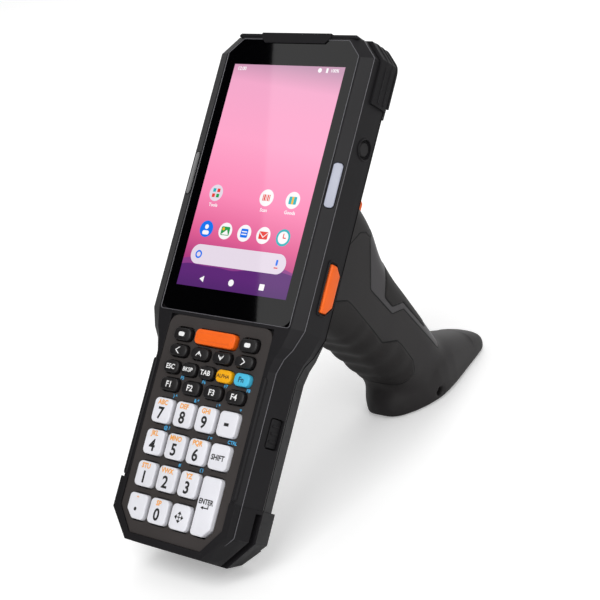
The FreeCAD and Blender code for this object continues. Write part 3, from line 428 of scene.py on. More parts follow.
# A filled shape from its corners, lying at height(x, y)
def patch(corners, height, material):
    corners = np.asarray(corners, float)
    lifted = np.column_stack([corners, height(corners[:, 0], corners[:, 1])])
    return place(lifted), [list(range(len(corners)))], material


# A filled rectangle with round corners; wide corners get more points
def plate(x, y, wide, tall, bend, height, material):
    loop, _ = roundLoop(rectangle(x, y, wide, tall), bend, 6 if bend < 2 else 10)
    return patch(loop, height, material)


# A filled circle
def disc(x, y, radius, height, material, sides=28):
    return patch(circle(x, y, radius, sides), height, material)


# The same height everywhere
def level(value):
    return lambda x, y: np.full(np.shape(x), float(value))


keySizes = {
    "columnPitch": 11.24, "rowPitch": 12.74, "smallPitch": 11.27, "editPitch": 9.1, "topNumberRow": -144.2,
    "softRow": -113.0, "arrowRow": -119.8, "editRow": -126.6, "functionRow": -133.6, "foot": -3.3,
    "top": 1.66, "round": 1.9, "edge": 0.62, "crown": 0.14, "ink": 0.05, "cornerCut": 3.4, "cutRound": 1.5,
    "numberWide": 9.3, "numberTall": 9.9, "scanWide": 20.4, "scanTall": 6.0, "softWide": 8.7, "softTall": 5.0,
    "arrowWide": 9.0, "arrowTall": 4.6, "editWide": 7.6, "editTall": 5.0, "functionWide": 9.0,
    "functionTall": 5.1, "softDrop": 0.3, "inkLeft": 0.1,
}
smallLooks = {"scan": "keyOrange", "letters": "keyYellow", "function": "keyCyan"}
# Word, ink and letter size of the small keys
smallWords = {
    "key_escape": ("ESC", "inkWhite", 2.75), "key_backspace": ("BKSP", "inkWhite", 2.3),
    "key_tab": ("TAB", "inkWhite", 2.75), "key_letters": ("ALPHA", "inkBrown", 2.0),
    "key_function": ("Fn", "inkNavy", 2.9), "key_f1": ("F1", "inkWhite", 3.3), "key_f2": ("F2", "inkWhite", 3.3),
    "key_f3": ("F3", "inkWhite", 3.3), "key_f4": ("F4", "inkWhite", 3.3),
}
arrowWays = {"key_left": (-1, 0), "key_up": (0, 1), "key_down": (0, -1), "key_right": (1, 0)}
arrowLooks = {"reach": 1.15, "spread": 1.35, "back": 0.55, "stroke": 0.62, "tail": 0.9, "tailHalf": 0.4}
scanPlateau = {"inset": 1.45, "deep": 1.0, "lift": 0.28, "round": 1.3, "edge": 0.2}
softMark = {"wide": 3.0, "tall": 1.7, "bend": 0.7}


# Height of a cap's top: its level plus the crown times the root of two parabolas' product, each 1 at the middle
# and 0 at the cap's sides
def capTop(x, y, wide, tall):
    def height(px, py):
        across = np.clip(1 - (2 * (px - x) / wide) ** 2, 0, 1)
        along = np.clip(1 - (2 * (py - y) / tall) ** 2, 0, 1)
        return keySizes["top"] + keySizes["crown"] * np.sqrt(across * along)
    return height


# The cap's top raised by the ink's thickness
def pressedInk(height):
    return lambda px, py: height(px, py) + keySizes["ink"]


# A cap and the height of its ink: straight sides, an edge turned over a quarter circle, and a crowned top in
# rings of 0.8, 0.5 and 0.2 of its size. One corner may be cut
def keyCap(x, y, wide, tall, material, cut=None):
    s = keySizes
    corners = rectangle(x, y, wide, tall)
    if cut is not None:
        corner = corners[cut]
        side = 1 if cut == 0 else -1
        bevel = [(corner[0], corner[1] + s["cornerCut"]), (corner[0] + side * s["cornerCut"], corner[1])]
        corners[cut:cut + 1] = bevel[::side]
    loop, normals = roundLoop(corners, s["round"] if cut is None else s["cutRound"])
    turn = np.linspace(0, np.pi / 2, 6)
    insets = [0, *(s["edge"] * (1 - np.cos(turn)))]
    heights = [s["foot"], *(s["top"] - s["edge"] + s["edge"] * np.sin(turn))]
    rows = [atHeight(loop - normals * inset, z) for inset, z in zip(insets, heights)]
    height = capTop(x, y, wide, tall)
    middle = np.array((x, y))
    last = loop - normals * s["edge"]
    for scale in (0.8, 0.5, 0.2):
        inner = middle + (last - middle) * scale
        rows.append(np.column_stack([inner, height(inner[:, 0], inner[:, 1])]))
    return (place(np.concatenate(rows)), stackFaces(len(rows), len(loop)), material), pressedInk(height)


# Arrow mark: two slanting strokes that meet at a point, with a short tail behind the up and down arrows
def chevron(x, y, direction, height, material):
    look = arrowLooks
    ahead = np.array(direction, float)
    aside = np.array((-ahead[1], ahead[0]))
    middle = np.array((x, y))
    tip = ahead * look["reach"]
    inner = tip - ahead * look["stroke"]
    strokes = []
    for side in (1, -1):
        foot = aside * side * look["spread"] - ahead * look["back"]
        corners = [tip, foot, foot - ahead * look["stroke"], inner]
        strokes.append([middle + corner for corner in (corners if side > 0 else corners[::-1])])
    if direction[1]:
        half = aside * look["stroke"] * look["tailHalf"]
        end = inner - ahead * look["tail"]
        strokes.append([middle + corner for corner in (inner + half, end + half, end - half, inner - half)])
    return [patch(corners, height, material) for corners in strokes]


# Name, place, size and finish of each small key: a row is spread about the middle by its own pitch
def smallKeys():
    s = keySizes
    rows = (
        ("soft", 3 * s["smallPitch"], s["softRow"] - s["softDrop"], ("soft_left", "soft_right")),
        ("scan", 0, s["softRow"], ("scan",)),
        ("arrow", s["smallPitch"], s["arrowRow"], ("left", "up", "down", "right")),
        ("edit", s["editPitch"], s["editRow"], ("escape", "backspace", "tab", "letters", "function")),
        ("function", s["smallPitch"], s["functionRow"], ("f1", "f2", "f3", "f4")),
    )
    for row, pitch, y, names in rows:
        for number, name in enumerate(names):
            x = (number - (len(names) - 1) / 2) * pitch
            yield "key_" + name, x, y, s[row + "Wide"], s[row + "Tall"], smallLooks.get(name, "keyBlack")


# Caps of the small keys, with their words and marks; the scan key has a raised plate
def makeSmallKeys():
    for name, x, y, wide, tall, look in smallKeys():
        cap, ink = keyCap(x, y, wide, tall, look)
        parts = [cap]
        if name in smallWords:
            text, colour, size = smallWords[name]
            parts.append(word(text, x, y, size, ink, colour))
        if name in arrowWays:
            parts += chevron(x, y, arrowWays[name], ink, "inkWhite")
        if name == "key_scan":
            p, top = scanPlateau, keySizes["top"]
            parts.append(block(x, y, wide - 2 * p["inset"], tall - 2 * p["inset"], p["round"], top - p["deep"],
                               top + p["lift"], p["edge"], look))
        if name.startswith("key_soft"):
            parts.append(plate(x, y, *softMark.values(), ink, "inkWhite"))
        addPiece(name.replace("key_", "cap_"), parts, name, [name])


# Name, black word and orange letters of the white keys, row by row
numberKeys = (
    ("key_7", "7", "ABC"), ("key_8", "8", "DEF"), ("key_9", "9", "GHI"), ("key_minus", "-", ""),
    ("key_4", "4", "JKL"), ("key_5", "5", "MNO"), ("key_6", "6", "PQR"), ("key_shift", "SHIFT", ""),
    ("key_1", "1", "STU"), ("key_2", "2", "VWX"), ("key_3", "3", "YZ"), ("key_enter", "ENTER", ""),
    ("key_point", ".", "*"), ("key_0", "0", "SP"), ("key_navigate", "", ""),
)
# Size, rise, stretch and weight of the black words
numberInk = {
    "figure": (6.5, -1.2, 0.92, 0.026), ".": (8.4, -1.2, 0.92, 0.026), "-": (8.4, -0.2, 0.92, 0.026),
    "SHIFT": (2.9, -0.3, 0.9, 0.03), "ENTER": (2.75, 1.8, 0.86, 0.03),
}
letterInk = {"left": 0.2, "up": 3.2, "size": 2.75, "stretch": 0.92, "bold": 0.034}
# Black shapes about a key's middle: a return arrow, and four arrowheads on a cross
keyMarks = {
    "key_enter": (rectangle(0.2, -0.6, 2.8, 0.42), rectangle(1.4, 0, 0.42, 1.3),
                  [(-2.2, -0.6), (-0.9, -1.3), (-0.9, 0.1)]),
    "key_navigate": ([(2.3, 0), (1.15, 1), (1.15, -1)], [(0, 2.3), (-1, 1.15), (1, 1.15)],
                     [(-2.3, 0), (-1.15, -1), (-1.15, 1)], [(0, -2.3), (1, -1.15), (-1, -1.15)],
                     rectangle(0, 0, 2.4, 0.36), rectangle(0, 0, 0.36, 2.4)),
}
cutCorners = {"key_point": 0, "key_enter": 1}


# Caps of the white keys in four columns; the enter key is as tall as two rows
def makeNumberKeys():
    s, k = keySizes, letterInk
    for number, (name, text, letters) in enumerate(numberKeys):
        down, across = divmod(number, 4)
        x = (across - 1.5) * s["columnPitch"]
        y = s["topNumberRow"] - down * s["rowPitch"]
        tall = s["numberTall"]
        if name == "key_enter":
            y -= s["rowPitch"] / 2
            tall += s["rowPitch"]
        cap, ink = keyCap(x, y, s["numberWide"], tall, "keyWhite", cutCorners.get(name))
        parts = [cap]
        if text:
            size, up, stretch, bold = numberInk.get(text, numberInk["figure"])
            parts.append(word(text, x - s["inkLeft"], y + up, size, ink, "inkBlack", stretch, bold))
        parts += [patch(np.add(corners, (x, y)), ink, "inkBlack") for corners in keyMarks.get(name, ())]
        if letters:
            parts.append(word(letters, x - k["left"], y + k["up"], k["size"], ink, "inkOrange", k["stretch"],
                              k["bold"]))
        addPiece(name.replace("key_", "cap_"), parts, name, [name])


makeSmallKeys()
makeNumberKeys()
print("key caps made")

# Second marks printed on the panel: F5 to F8 above the function row, signs above the white keys
panelMarks = {"size": 1.9, "height": -0.17, "fourRight": 4.6, "fourDown": 3.5, "right": 3.4, "up": 6.4}
panelTexts = ((" ) ^", " & *", " ; +", "+"), ("@ ?", "", "/ =", "CTRL"), ("", "#", "( )", ""))


# Each mark stands at its key's middle plus a fixed step to the right and up or down
def makePanelMarks():
    s, p = keySizes, panelMarks
    marks = [("F%d" % (number + 5), (number - 1.5) * s["smallPitch"] + p["fourRight"],
              s["editRow"] - p["fourDown"]) for number in range(4)]
    for down, texts in enumerate(panelTexts):
        y = s["topNumberRow"] + p["up"] - down * s["rowPitch"]
        marks += [(text, (across - 1.5) * s["columnPitch"] + p["right"], y)
                  for across, text in enumerate(texts) if text]
    parts = [word(text, x, y, p["size"], level(p["height"]), "inkCyan") for text, x, y in marks]
    addPiece("panel_marks", parts)


makePanelMarks()

# The grip's stations down from the case: depth, front, rear and half width
gripStations = np.array([
    (-27.4, -30.6, -92.9, 17.0), (-28.0, -30.6, -93.0, 17.0), (-44.0, -37.2, -94.2, 17.1),
    (-60.0, -44.6, -95.2, 17.0), (-71.0, -53.0, -96.6, 16.8), (-84.0, -59.4, -98.6, 16.5),
    (-100.0, -65.0, -101.8, 16.3), (-124.0, -73.4, -107.6, 16.1), (-137.0, -78.2, -110.6, 16.0),
    (-150.0, -83.0, -113.4, 15.6),
])
# The foot's stations along the floor: place, half width, underside and top
footStations = np.array([
    (31.0, 0.4, 4.6, 5.2), (31.7, 4.0, 2.4, 8.0), (33.5, 7.0, 0.9, 10.8), (37.0, 10.2, 0.2, 13.8),
    (42.5, 13.6, 0.0, 17.2), (49.0, 16.4, 0.0, 20.4), (57.0, 18.2, 0.0, 23.0), (64.0, 18.0, 0.0, 24.0),
    (72.0, 16.9, 0.0, 23.2), (80.0, 15.2, 0.0, 20.6), (90.0, 13.0, 0.0, 16.8), (100.0, 10.9, 0.0, 12.8),
    (106.0, 9.4, 0.0, 9.9), (109.2, 7.9, 0.2, 7.6), (110.5, 5.8, 0.6, 5.8), (110.9, 1.0, 1.9, 2.8),
])
gripSizes = {
    "corner": 10.8, "crown": 0.5, "rows": 150, "voxel": 0.8, "calm": 6, "blendCalm": 70, "blendReach": 7.0,
    "corner": 10.8, "crown": 0.5, "rows": 150, "voxel": 0.8, "calm": 6, "blendCalm": 70, "blendReach": 7.0,
    "rubberProud": 0.35, "spineProud": 0.12, "stepWide": 0.7, "spineSoft": 0.3, "rippleDeep": 0.42,
    "ripplePitch": 11.6, "rippleReach": 17.0, "rippleStart": 62.0, "rippleSoft": 10.0, "zoneRound": 1.6,
    "floorGap": 1.5, "hide": 60.0, "wellHalf": 6.6, "wellBack": -51.2, "wellFront": 10.0, "wellEnd": -64.6,
    "wellStart": -25.0, "wellRound": 2.4, "wellSide": 7.6, "wellBehind": -53.0, "wellBelow": -66.0,
    "cordAlong": 56.57, "cordUp": 4.6, "cordRadius": 2.2, "cordHalf": 30.0, "junctionLift": 0.93,
    "junctionAt": 62.0, "junctionHalf": 34.0, "footTop": 22.0, "footSoft": 6.0, "palmLow": 9.0,
    "spineNear": 0.5, "footWaist": 0.34, "solePower": 7.0, "backPower": 3.0,
}
gripLooks = {
    "fine": 1900.0, "slow": 60.0, "mask": 0.12, "seam": 0.34, "seamStart": 0.6, "seamEnd": 1.3, "grain": 0.3,
    "grainDeep": 0.06, "seamStrength": 0.9, "seamDeep": 0.35, "rough": 0.50, "roughRubber": 0.10,
    "roughSpine": 0.12, "roughFine": 0.08, "shine": 0.2,
}
# Seams of the grip seen from the side, as (y, z): the collar, the palm rubber, the light spine, the finger pad
gripZones = {
    "collar": [(-72, -20), (-72, -36), (-57.8, -45.9), (-52.8, -49.9), (-51.4, -54), (-53, -57.4),
               (-44, -61.6), (-10, -61.6), (-10, -20)],
    "palm": [(-86, -20), (-83.4, -45.5), (-81.2, -52.6), (-81.8, -56), (-91.2, -86.2), (-87.9, -95.6),
             (-88.7, -100.1), (-93, -111.9), (-97.4, -116.0), (-103.4, -115.6), (-112, -108), (-140, -104),
             (-140, -20)],
    "spine": [(-10, -61.9), (-44, -61.9), (-53, -57.7), (-72.8, -66.7), (-78.1, -87), (-73.9, -94.7),
              (-83.2, -130.8), (-76, -136), (-10, -136)],
    "fingers": [(-10, -76), (-50, -76), (-63.4, -75.6), (-72.9, -78.6), (-75.1, -85.7), (-71.2, -93.5),
                (-77.2, -116.5), (-60, -121), (-10, -121)],
}


# Loop in counter-clockwise order, by the sign of its area
def anticlockwise(corners):
    corners = np.asarray(corners, float)
    after = np.roll(corners, -1, 0)
    area = (corners[:, 0] * after[:, 1] - corners[:, 1] * after[:, 0]).sum()
    return corners if area > 0 else corners[::-1]


# Distance of each point to a closed loop, negative inside it
def zoneDistance(points, corners):
    loop, _ = roundLoop(anticlockwise(corners), gripSizes["zoneRound"], 4)
    nearest = np.full(len(points), 1e9)
    inside = np.zeros(len(points), bool)
    for start, end in zip(loop, np.roll(loop, -1, 0)):
        side = end - start
        long = side @ side
        if long < 1e-9:
            continue
        part = np.clip((points - start) @ side / long, 0, 1)
        nearest = np.minimum(nearest, np.linalg.norm(points - start - part[:, None] * side, axis=1))
        crossed = (start[1] > points[:, 1]) != (end[1] > points[:, 1])
        slope = start[0] + (points[:, 1] - start[1]) / (side[1] if side[1] else 1e-9) * side[0]
        inside ^= crossed & (points[:, 0] < slope)
    return np.where(inside, -nearest, nearest)


# Cubic curve through stations, its slopes taken from their neighbours
def through(at, values, where):
    slopes = np.gradient(values, at)
    i = np.clip(np.searchsorted(at, where) - 1, 0, len(at) - 2)
    wide = at[i + 1] - at[i]
    t = (where - at[i]) / wide
    return ((1 + 2 * t) * (1 - t) ** 2 * values[i] + t * (1 - t) ** 2 * wide * slopes[i]
            + t ** 2 * (3 - 2 * t) * values[i + 1] + t ** 2 * (t - 1) * wide * slopes[i + 1])


# 0 below 0, 1 above 1, and 3 t^2 - 2 t^3 between
def softStep(value):
    value = np.clip(value, 0, 1)
    return value * value * (3 - 2 * value)


# A closed loft through rings of points, turned about where the rings run the other way
def ringMesh(name, rings, flip=False):
    count, around = rings.shape[:2]
    sides = stackFaces(count, around)
    mesh = bpy.data.meshes.new(name)
    mesh.from_pydata(rings.reshape(-1, 3).tolist(), [], [side[::-1] for side in sides] if flip else sides)
    return newObject(name, mesh)


# The column: at each depth a rectangle with round corners whose flat sides swell a little
def gripColumn():
    g = gripSizes
    table = gripStations[::-1]
    depth = np.linspace(table[0, 0], table[-1, 0], g["rows"])
    front, rear, half = (through(table[:, 0], table[:, k], depth) for k in (1, 2, 3))
    square, _ = roundLoop(rectangle(0, 0, 4, 4), 1.0, 10)
    ring = np.concatenate([np.linspace(a, b, 8, endpoint=False) for a, b in zip(square, np.roll(square, -1, 0))])
    corner = g["corner"]
    away = np.sign(ring) * np.maximum(np.abs(ring) - 1, 0)      # 0 on the straight parts' middle, 1 at the corner
    flat = np.clip(ring, -1, 1)
    x = flat[:, 0] * (half[:, None] - corner) + away[:, 0] * corner
    long = (front - rear)[:, None] / 2
    y = flat[:, 1] * (long - corner) + away[:, 1] * corner
    x = x + np.sign(x) * g["crown"] * np.clip(1 - (y / long) ** 2, 0, 1) * np.abs(away[:, 0])
    y = y + (front + rear)[:, None] / 2
    spots = place(np.stack([x, y, np.broadcast_to(depth[:, None], x.shape)], -1).reshape(-1, 3))
    spots[:, 2] = np.maximum(spots[:, 2], g["floorGap"] * mm)
    return ringMesh("gripColumn", spots.reshape(g["rows"], len(ring), 3))


# The foot: at each place along the floor a ring with a flat sole and a round back. Across and up it follows
# cosine and sine, each raised to the power of 2/7 below the waist and of 2/3 above it
def gripFoot():
    g = gripSizes
    table = footStations
    along = np.concatenate([np.linspace(a, b, 6, endpoint=False) for a, b in zip(table[:-1, 0], table[1:, 0])]
                           + [table[-1:, 0]])
    half, low, high = (np.interp(along, table[:, 0], table[:, k]) for k in (1, 2, 3))
    angle = np.linspace(0, 2 * np.pi, 72, endpoint=False)
    power = np.where(np.sin(angle) < 0, 2 / g["solePower"], 2 / g["backPower"])
    x = half[:, None] * np.sign(np.cos(angle)) * np.abs(np.cos(angle)) ** power
    rise = np.sign(np.sin(angle)) * np.abs(np.sin(angle)) ** power
    waist = low + (high - low) * g["footWaist"]
    z = np.where(rise < 0, waist[:, None] + rise * (waist - low)[:, None],
                 waist[:, None] + rise * (high - waist)[:, None])
    y = np.broadcast_to(along[:, None], x.shape)
    return ringMesh("gripFoot", np.stack([x, y, z], -1) * mm, True)


# A bar across the grip, from a loop of (y, z) in the row frame, in millimetres
def crossBar(loop, half):
    rings = np.stack([np.column_stack([np.full(len(loop), x), loop]) for x in (-half, half)]) * mm
    return ringMesh("crossBar", rings)


# The bars cut out of the grip: the trigger's well, and the cord hole through the foot
def gripBars():
    g = gripSizes
    middle = ((g["wellBack"] + g["wellFront"]) / 2, (g["wellStart"] + g["wellEnd"]) / 2)
    size = (g["wellFront"] - g["wellBack"], g["wellStart"] - g["wellEnd"])
    loop, _ = roundLoop(rectangle(*middle, *size), g["wellRound"])
    spots = place(np.column_stack([np.zeros(len(loop)), loop])) / mm
    cord = circle(g["cordAlong"], g["cordUp"], g["cordRadius"], 24)
    return crossBar(spots[:, 1:], g["wellHalf"]), crossBar(cord, g["cordHalf"])


# Takes the bar's volume away from the thing's
def carve(thing, bar):
    cut = thing.modifiers.new("cut", "BOOLEAN")
    cut.operation = "DIFFERENCE"
    cut.solver = "EXACT"
    cut.object = bar


# Each point moves towards the middle of its neighbours, by its own weight, some times over
def calmed(spots, pairs, times, weight):
    count = np.bincount(pairs.ravel(), minlength=len(spots))[:, None]
    for _ in range(times):
        total = np.zeros_like(spots)
        np.add.at(total, pairs[:, 0], spots[pairs[:, 1]])
        np.add.at(total, pairs[:, 1], spots[pairs[:, 0]])
        spots = spots + weight[:, None] * (total / count - spots)
    return spots


# The grip's finish. A zone's distance is below 0 inside it, so its mask is a soft step of the distance about 0.
# A seam is where the least of the absolute distances is small: it is dark and sunk. The spine's colour is
# blended over the body's and the rubber's over both; rubber is rougher and the spine smoother
def gripMaterial():
    g = gripLooks
    material, shader, tree = newMaterial("gripSkin")
    fine = noise(tree, g["fine"], 3.0)
    slow = noise(tree, g["slow"], 2.0)
    edges = {name: tree.node("Attribute", {"attribute_name": name + "Edge"}, output=2) for name in gripZones}
    inside = {name: (0.0 - edge).step(-g["mask"], g["mask"]) for name, edge in edges.items()}
    nearest = tree.math("ABSOLUTE", edges["collar"])
    for name in ("palm", "spine", "fingers"):
        nearest = tree.math("MINIMUM", nearest, tree.math("ABSOLUTE", edges[name]))
    rubber = tree.math("MAXIMUM", inside["palm"], inside["fingers"])
    spine = inside["spine"] * (1.0 - inside["fingers"])
    body = slow.blend(tint(37, 35, 36), tint(44, 42, 42))
    withSpine = spine.blend(body, tint(66, 64, 66))
    withRubber = rubber.blend(withSpine, tint(35, 33, 33))
    groove = 1.0 - nearest.step(g["seam"] * g["seamStart"], g["seam"] * g["seamEnd"])
    bumped = tree.node("Bump", None, {"Strength": g["grain"], "Distance": g["grainDeep"] * mm, "Height": fine})
    sunk = tree.node("Bump", None, {"Strength": g["seamStrength"], "Distance": g["seamDeep"] * mm,
                                    "Height": 1.0 - groove, "Normal": bumped})
    rough = g["rough"] + rubber * g["roughRubber"] - spine * g["roughSpine"] + (fine - 0.5) * g["roughFine"]
    connect(shader, Base_Color=groove.blend(withRubber, tint(6, 6, 6)), Roughness=rough, Normal=sunk,
            Specular_IOR_Level=g["shine"])
    return material


# The grip's form before its zones: column and foot, cut by the bars and joined by voxels, then calmed all over
# and most of all where they meet, which is where the column reaches the foot's back
def gripForm():
    g = gripSizes
    column, foot = gripColumn(), gripFoot()
    well, cordHole = gripBars()
    carve(column, well)
    carve(column, cordHole)
    carve(foot, cordHole)
    both = [readMesh(settled(thing)) for thing in (column, foot)]
    start = len(both[0][0])
    joined = bpy.data.meshes.new("gripJoined")
    joined.from_pydata(np.concatenate([both[0][0], both[1][0]]).tolist(), [],
                       both[0][1] + [[start + corner for corner in side] for side in both[1][1]])
    whole = newObject("gripJoined", joined)
    remesh = whole.modifiers.new("voxels", "REMESH")
    remesh.mode = "VOXEL"
    remesh.voxel_size = g["voxel"] * mm
    mesh = settled(whole)
    spots, sides = readMesh(mesh)
    pairs = np.zeros(len(mesh.edges) * 2, int)
    mesh.edges.foreach_get("vertices", pairs)
    pairs = pairs.reshape(-1, 2)
    for thing in (column, foot, well, cordHole, whole):
        bpy.data.objects.remove(thing)
    spots = calmed(spots, pairs, g["calm"], np.full(len(spots), 0.5))
    along, height = spots[:, 1] / mm, spots[:, 2] / mm
    footTop = np.interp(along, footStations[:, 0], footStations[:, 3])
    near = softStep(1 - np.abs(height - footTop * g["junctionLift"]) / g["blendReach"])
    near *= np.abs(along - g["junctionAt"]) < g["junctionHalf"]
    return mesh, calmed(spots, pairs, g["blendCalm"], 0.5 * near), sides


# The grip's skin: each point moves along its normal by the rubber's and the spine's thickness times its place in
# their zones, and under the palm by a cosine wave down the column. The zones' distances go on as attributes
def makeGrip():
    g = gripSizes
    materials["gripSkin"] = gripMaterial()
    mesh, spots, sides = gripForm()
    height = spots[:, 2] / mm
    inTerminal = (spots - origin) / mm @ directions.T
    flat = inTerminal[:, 1:]
    distance = {name: zoneDistance(flat, corners) for name, corners in gripZones.items()}
    offFoot = 1 - softStep((g["footTop"] - height) / g["footSoft"])
    inPalm = softStep(-distance["palm"] / g["stepWide"]) * offFoot
    inFingers = softStep(-distance["fingers"] / g["stepWide"])
    inSpine = softStep(-distance["spine"] / g["spineSoft"]) * (distance["fingers"] > 0) * offFoot
    table = gripStations[::-1]
    rear = through(table[:, 0], table[:, 2], np.clip(flat[:, 1], table[0, 0], table[-1, 0]))
    atRear = np.clip((rear + g["rippleReach"] - flat[:, 0]) / g["rippleReach"], 0, 1)
    started = softStep((-flat[:, 1] - g["rippleStart"]) / g["rippleSoft"])
    ripple = g["rippleDeep"] * np.cos(2 * np.pi * flat[:, 1] / g["ripplePitch"]) * atRear * started
    mesh.vertices.foreach_set("co", spots.ravel())
    mesh.update()
    normals = np.zeros(len(spots) * 3)
    mesh.vertices.foreach_get("normal", normals)
    proud = g["rubberProud"] * (inPalm + inFingers) + g["spineProud"] * inSpine + ripple * inPalm
    spots = spots + normals.reshape(-1, 3) * (proud * mm)[:, None]
    spots[:, 2] = np.maximum(spots[:, 2], 0)
    # A seam is put out of sight by stretching its distance, which keeps the sign on either side
    low = (height < g["footTop"]) * g["hide"]
    inWell = ((flat[:, 1] > g["wellBelow"]) & (flat[:, 0] > g["wellBehind"])
              & (np.abs(inTerminal[:, 0]) < g["wellSide"])) * g["hide"]
    beyond = (distance["spine"] > g["spineNear"]) * g["hide"]
    edges = {
        "collarEdge": distance["collar"] * (1 + inWell),
        "palmEdge": distance["palm"] * (1 + (height < g["palmLow"]) * g["hide"]),
        "spineEdge": distance["spine"] * (1 + low + inWell),
        "fingersEdge": distance["fingers"] * (1 + beyond),
    }
    bpy.data.meshes.remove(mesh)
    addPiece("grip_skin", [(spots, sides, "gripSkin")], "terminal",
             ["grip_collar", "grip_core", "grip_rear_rubber", "grip_front_spine", "grip_finger_pad"],
             smooth=50, attributes=edges)
    print("grip skin:", len(spots), "points")


makeGrip()

triggerSizes = {
    "half": 6.0, "edge": 1.5, "round": 1.6,
    "side": [(-35.6, -31.2), (-43.6, -31.2), (-45.4, -38.6), (-45.4, -61.0), (-43.6, -63.0), (-37.0, -63.0),
             (-35.6, -60.4), (-37.6, -50.6), (-35.4, -40.6)],
}


# The trigger: its side outline with round corners, carried across, with both edges turned over
def makeTrigger():
    t = triggerSizes
    loop, outward = roundLoop(anticlockwise(t["side"]), t["round"])
    blade = slab(loop, outward, -t["half"], t["half"], t["edge"], "keyOrange", "x")
    addPiece("trigger_blade", [blade], "trigger", ["trigger"])


makeTrigger()
print("grip made")

# Rim slope beside the glass: the rim falls from the face's edge to the side
rimSlope = {
    "start": 33.8, "reach": 9.0, "fall": 2.2 / 4.9, "windowX": 35.95, "windowWide": 3.7, "windowLow": -56.0,
    "windowHigh": -38.0, "windowRound": 1.5, "windowProud": 0.22, "windowDeep": 2.3, "windowEdge": 0.35,
    "beadRadius": 0.16, "beadOut": 0.08, "beadUp": 0.02,
}


# Height of the rim: 0 up to its start, then down by the fall for each millimetre outward
def onRim(x, y):
    return -np.clip(np.abs(x) - rimSlope["start"], 0, rimSlope["reach"]) * rimSlope["fall"]


# A light window on each rim: a rounded plate that lies on the slope, with a thin dark bead round it
def makeLightWindows():
    r = rimSlope
    middle = (r["windowLow"] + r["windowHigh"]) / 2
    tall = r["windowHigh"] - r["windowLow"]
    parts = []
    beads = []
    for side, lens in ((1, "lightLens"), (-1, "darkLens")):
        loop, outward = roundLoop(rectangle(side * r["windowX"], middle, r["windowWide"], tall), r["windowRound"])
        parts.append(slab(loop, outward, -r["windowDeep"], r["windowProud"], r["windowEdge"], lens, "z", onRim))
        path = np.column_stack([loop + outward * r["beadOut"], onRim(loop[:, 0], 0) + r["beadUp"]])
        beads.append(bead(path, r["beadRadius"], "seamLine"))
    addPiece("light_windows", parts, "terminal", ["status_light_window"])
    addPiece("light_window_edges", beads)


makeLightWindows()

# Pieces whose hard edges are turned: the bevel's width, the least angle that gets one, finish and slot
roundedNodes = {
    "top_bumper": (0.9, 24, "bumperRubber", "bumper_rubber"),
    "tail_bumper": (0.8, 24, "bumperRubber", "bumper_rubber"),
    "scan_button_right": (0.45, 30, "keyOrange", "orange_key"),
    "scan_button_left": (0.45, 30, "keyOrange", "orange_key"),
    "battery_door": (0.3, 30, "casePlastic", "case_plastic"),
}
copying = {"merge": 0.002, "flat": 0.5, "sharp": 60, "segments": 3}


# A copy of a CAD node: points at one place are merged, flat faces joined, and edges turned by a bevel
def roundedCopy(node, width, angle, finish, slot):
    shape = bmesh.new()
    shape.from_mesh(frame["nodes"][node].data)
    flat = math.radians(copying["flat"])
    bmesh.ops.remove_doubles(shape, verts=shape.verts, dist=copying["merge"] * mm)
    bmesh.ops.dissolve_limit(shape, angle_limit=flat, verts=shape.verts, edges=shape.edges)
    mesh = bpy.data.meshes.new(node + "_rounded")
    shape.to_mesh(mesh)
    shape.free()
    mesh.materials.append(materials[finish])
    mesh.shade_smooth()
    mesh.set_sharp_from_angle(angle=math.radians(copying["sharp"]))
    piece = newObject(node + "_rounded", mesh)
    bevel = piece.modifiers.new("edges", "BEVEL")
    bevel.width = width * mm
    bevel.segments = copying["segments"]
    bevel.limit_method = "ANGLE"
    bevel.angle_limit = math.radians(angle)
    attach(piece, node if node in frame["bodies"] else "terminal")
    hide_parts(node)


for node, look in roundedNodes.items():
    roundedCopy(node, *look)

# Pale lines that are painted highlights on the glass and rim edges, a seam line and raised details of the case, in
# the terminal's frame
caseLines = {
    "glassHalf": 33.0, "glassTop": 11.0, "glassBottom": -104.0, "glassCut": 6.2, "glassHighlightLine": 0.17,
    "headHalf": 38.74, "keyHalf": 30.5, "rimTop": 12.32, "rimTail": -195.24, "rimDepth": -2.5, "rimHighlightLine": 0.17,
    "splitHead": 39.0, "splitKey": 30.4, "splitTop": 12.5, "splitTail": -195.5, "splitDepth": -16.0,
    "splitLine": 0.2, "headCut": 7.3, "tailCut": 10.2, "tailShoulder": -184.8, "lineRound": 1.2,
    "neck": ((0.62, -111.5), (0.24, -115.8)), "neckStart": -104.0, "neckEnd": -121.5,
    "barHalf": 30.8, "barTopHalf": 29.2, "barFoot": 11.9, "barTop": 13.45, "barLow": -6.6, "barHigh": -0.1,
    "barRound": 0.5, "barEdge": 0.45, "railX": 28.1, "railY": -147.75, "railWide": 2.0,
    "railTall": 47.5, "railHigh": 0.75, "railLow": -1.2, "railRound": 0.95, "railEdge": 0.6,
    "ridgeDepths": (-10.0, -13.4, -16.8), "ridgeReach": 13.72, "ridgeSide": 40.08, "ridgeRadius": 0.5,
    "ridgeEnd": -10.6, "ridgeInner": 22.5, "ridgeCut": 7.45, "ridgeSteps": 14, "ridgeCalm": 6,
}


# Half an outline and its mirror image, with round corners
def mirrored(half, bend):
    return roundLoop(anticlockwise(half + [(-x, y) for x, y in reversed(half)]), bend)


# The case's outline: cut head corners, the neck's steps between head and key width, and cut tail corners
def caseLoop(head, key, top, tail):
    c = caseLines
    neck = [(key + part * (head - key), y) for part, y in c["neck"]]
    half = [(head - c["headCut"], top), (head, top - c["headCut"]), (head, c["neckStart"]), *neck,
            (key, c["neckEnd"]), (key, c["tailShoulder"]), (key - c["tailCut"], tail)]
    return mirrored(half, c["lineRound"])[0]
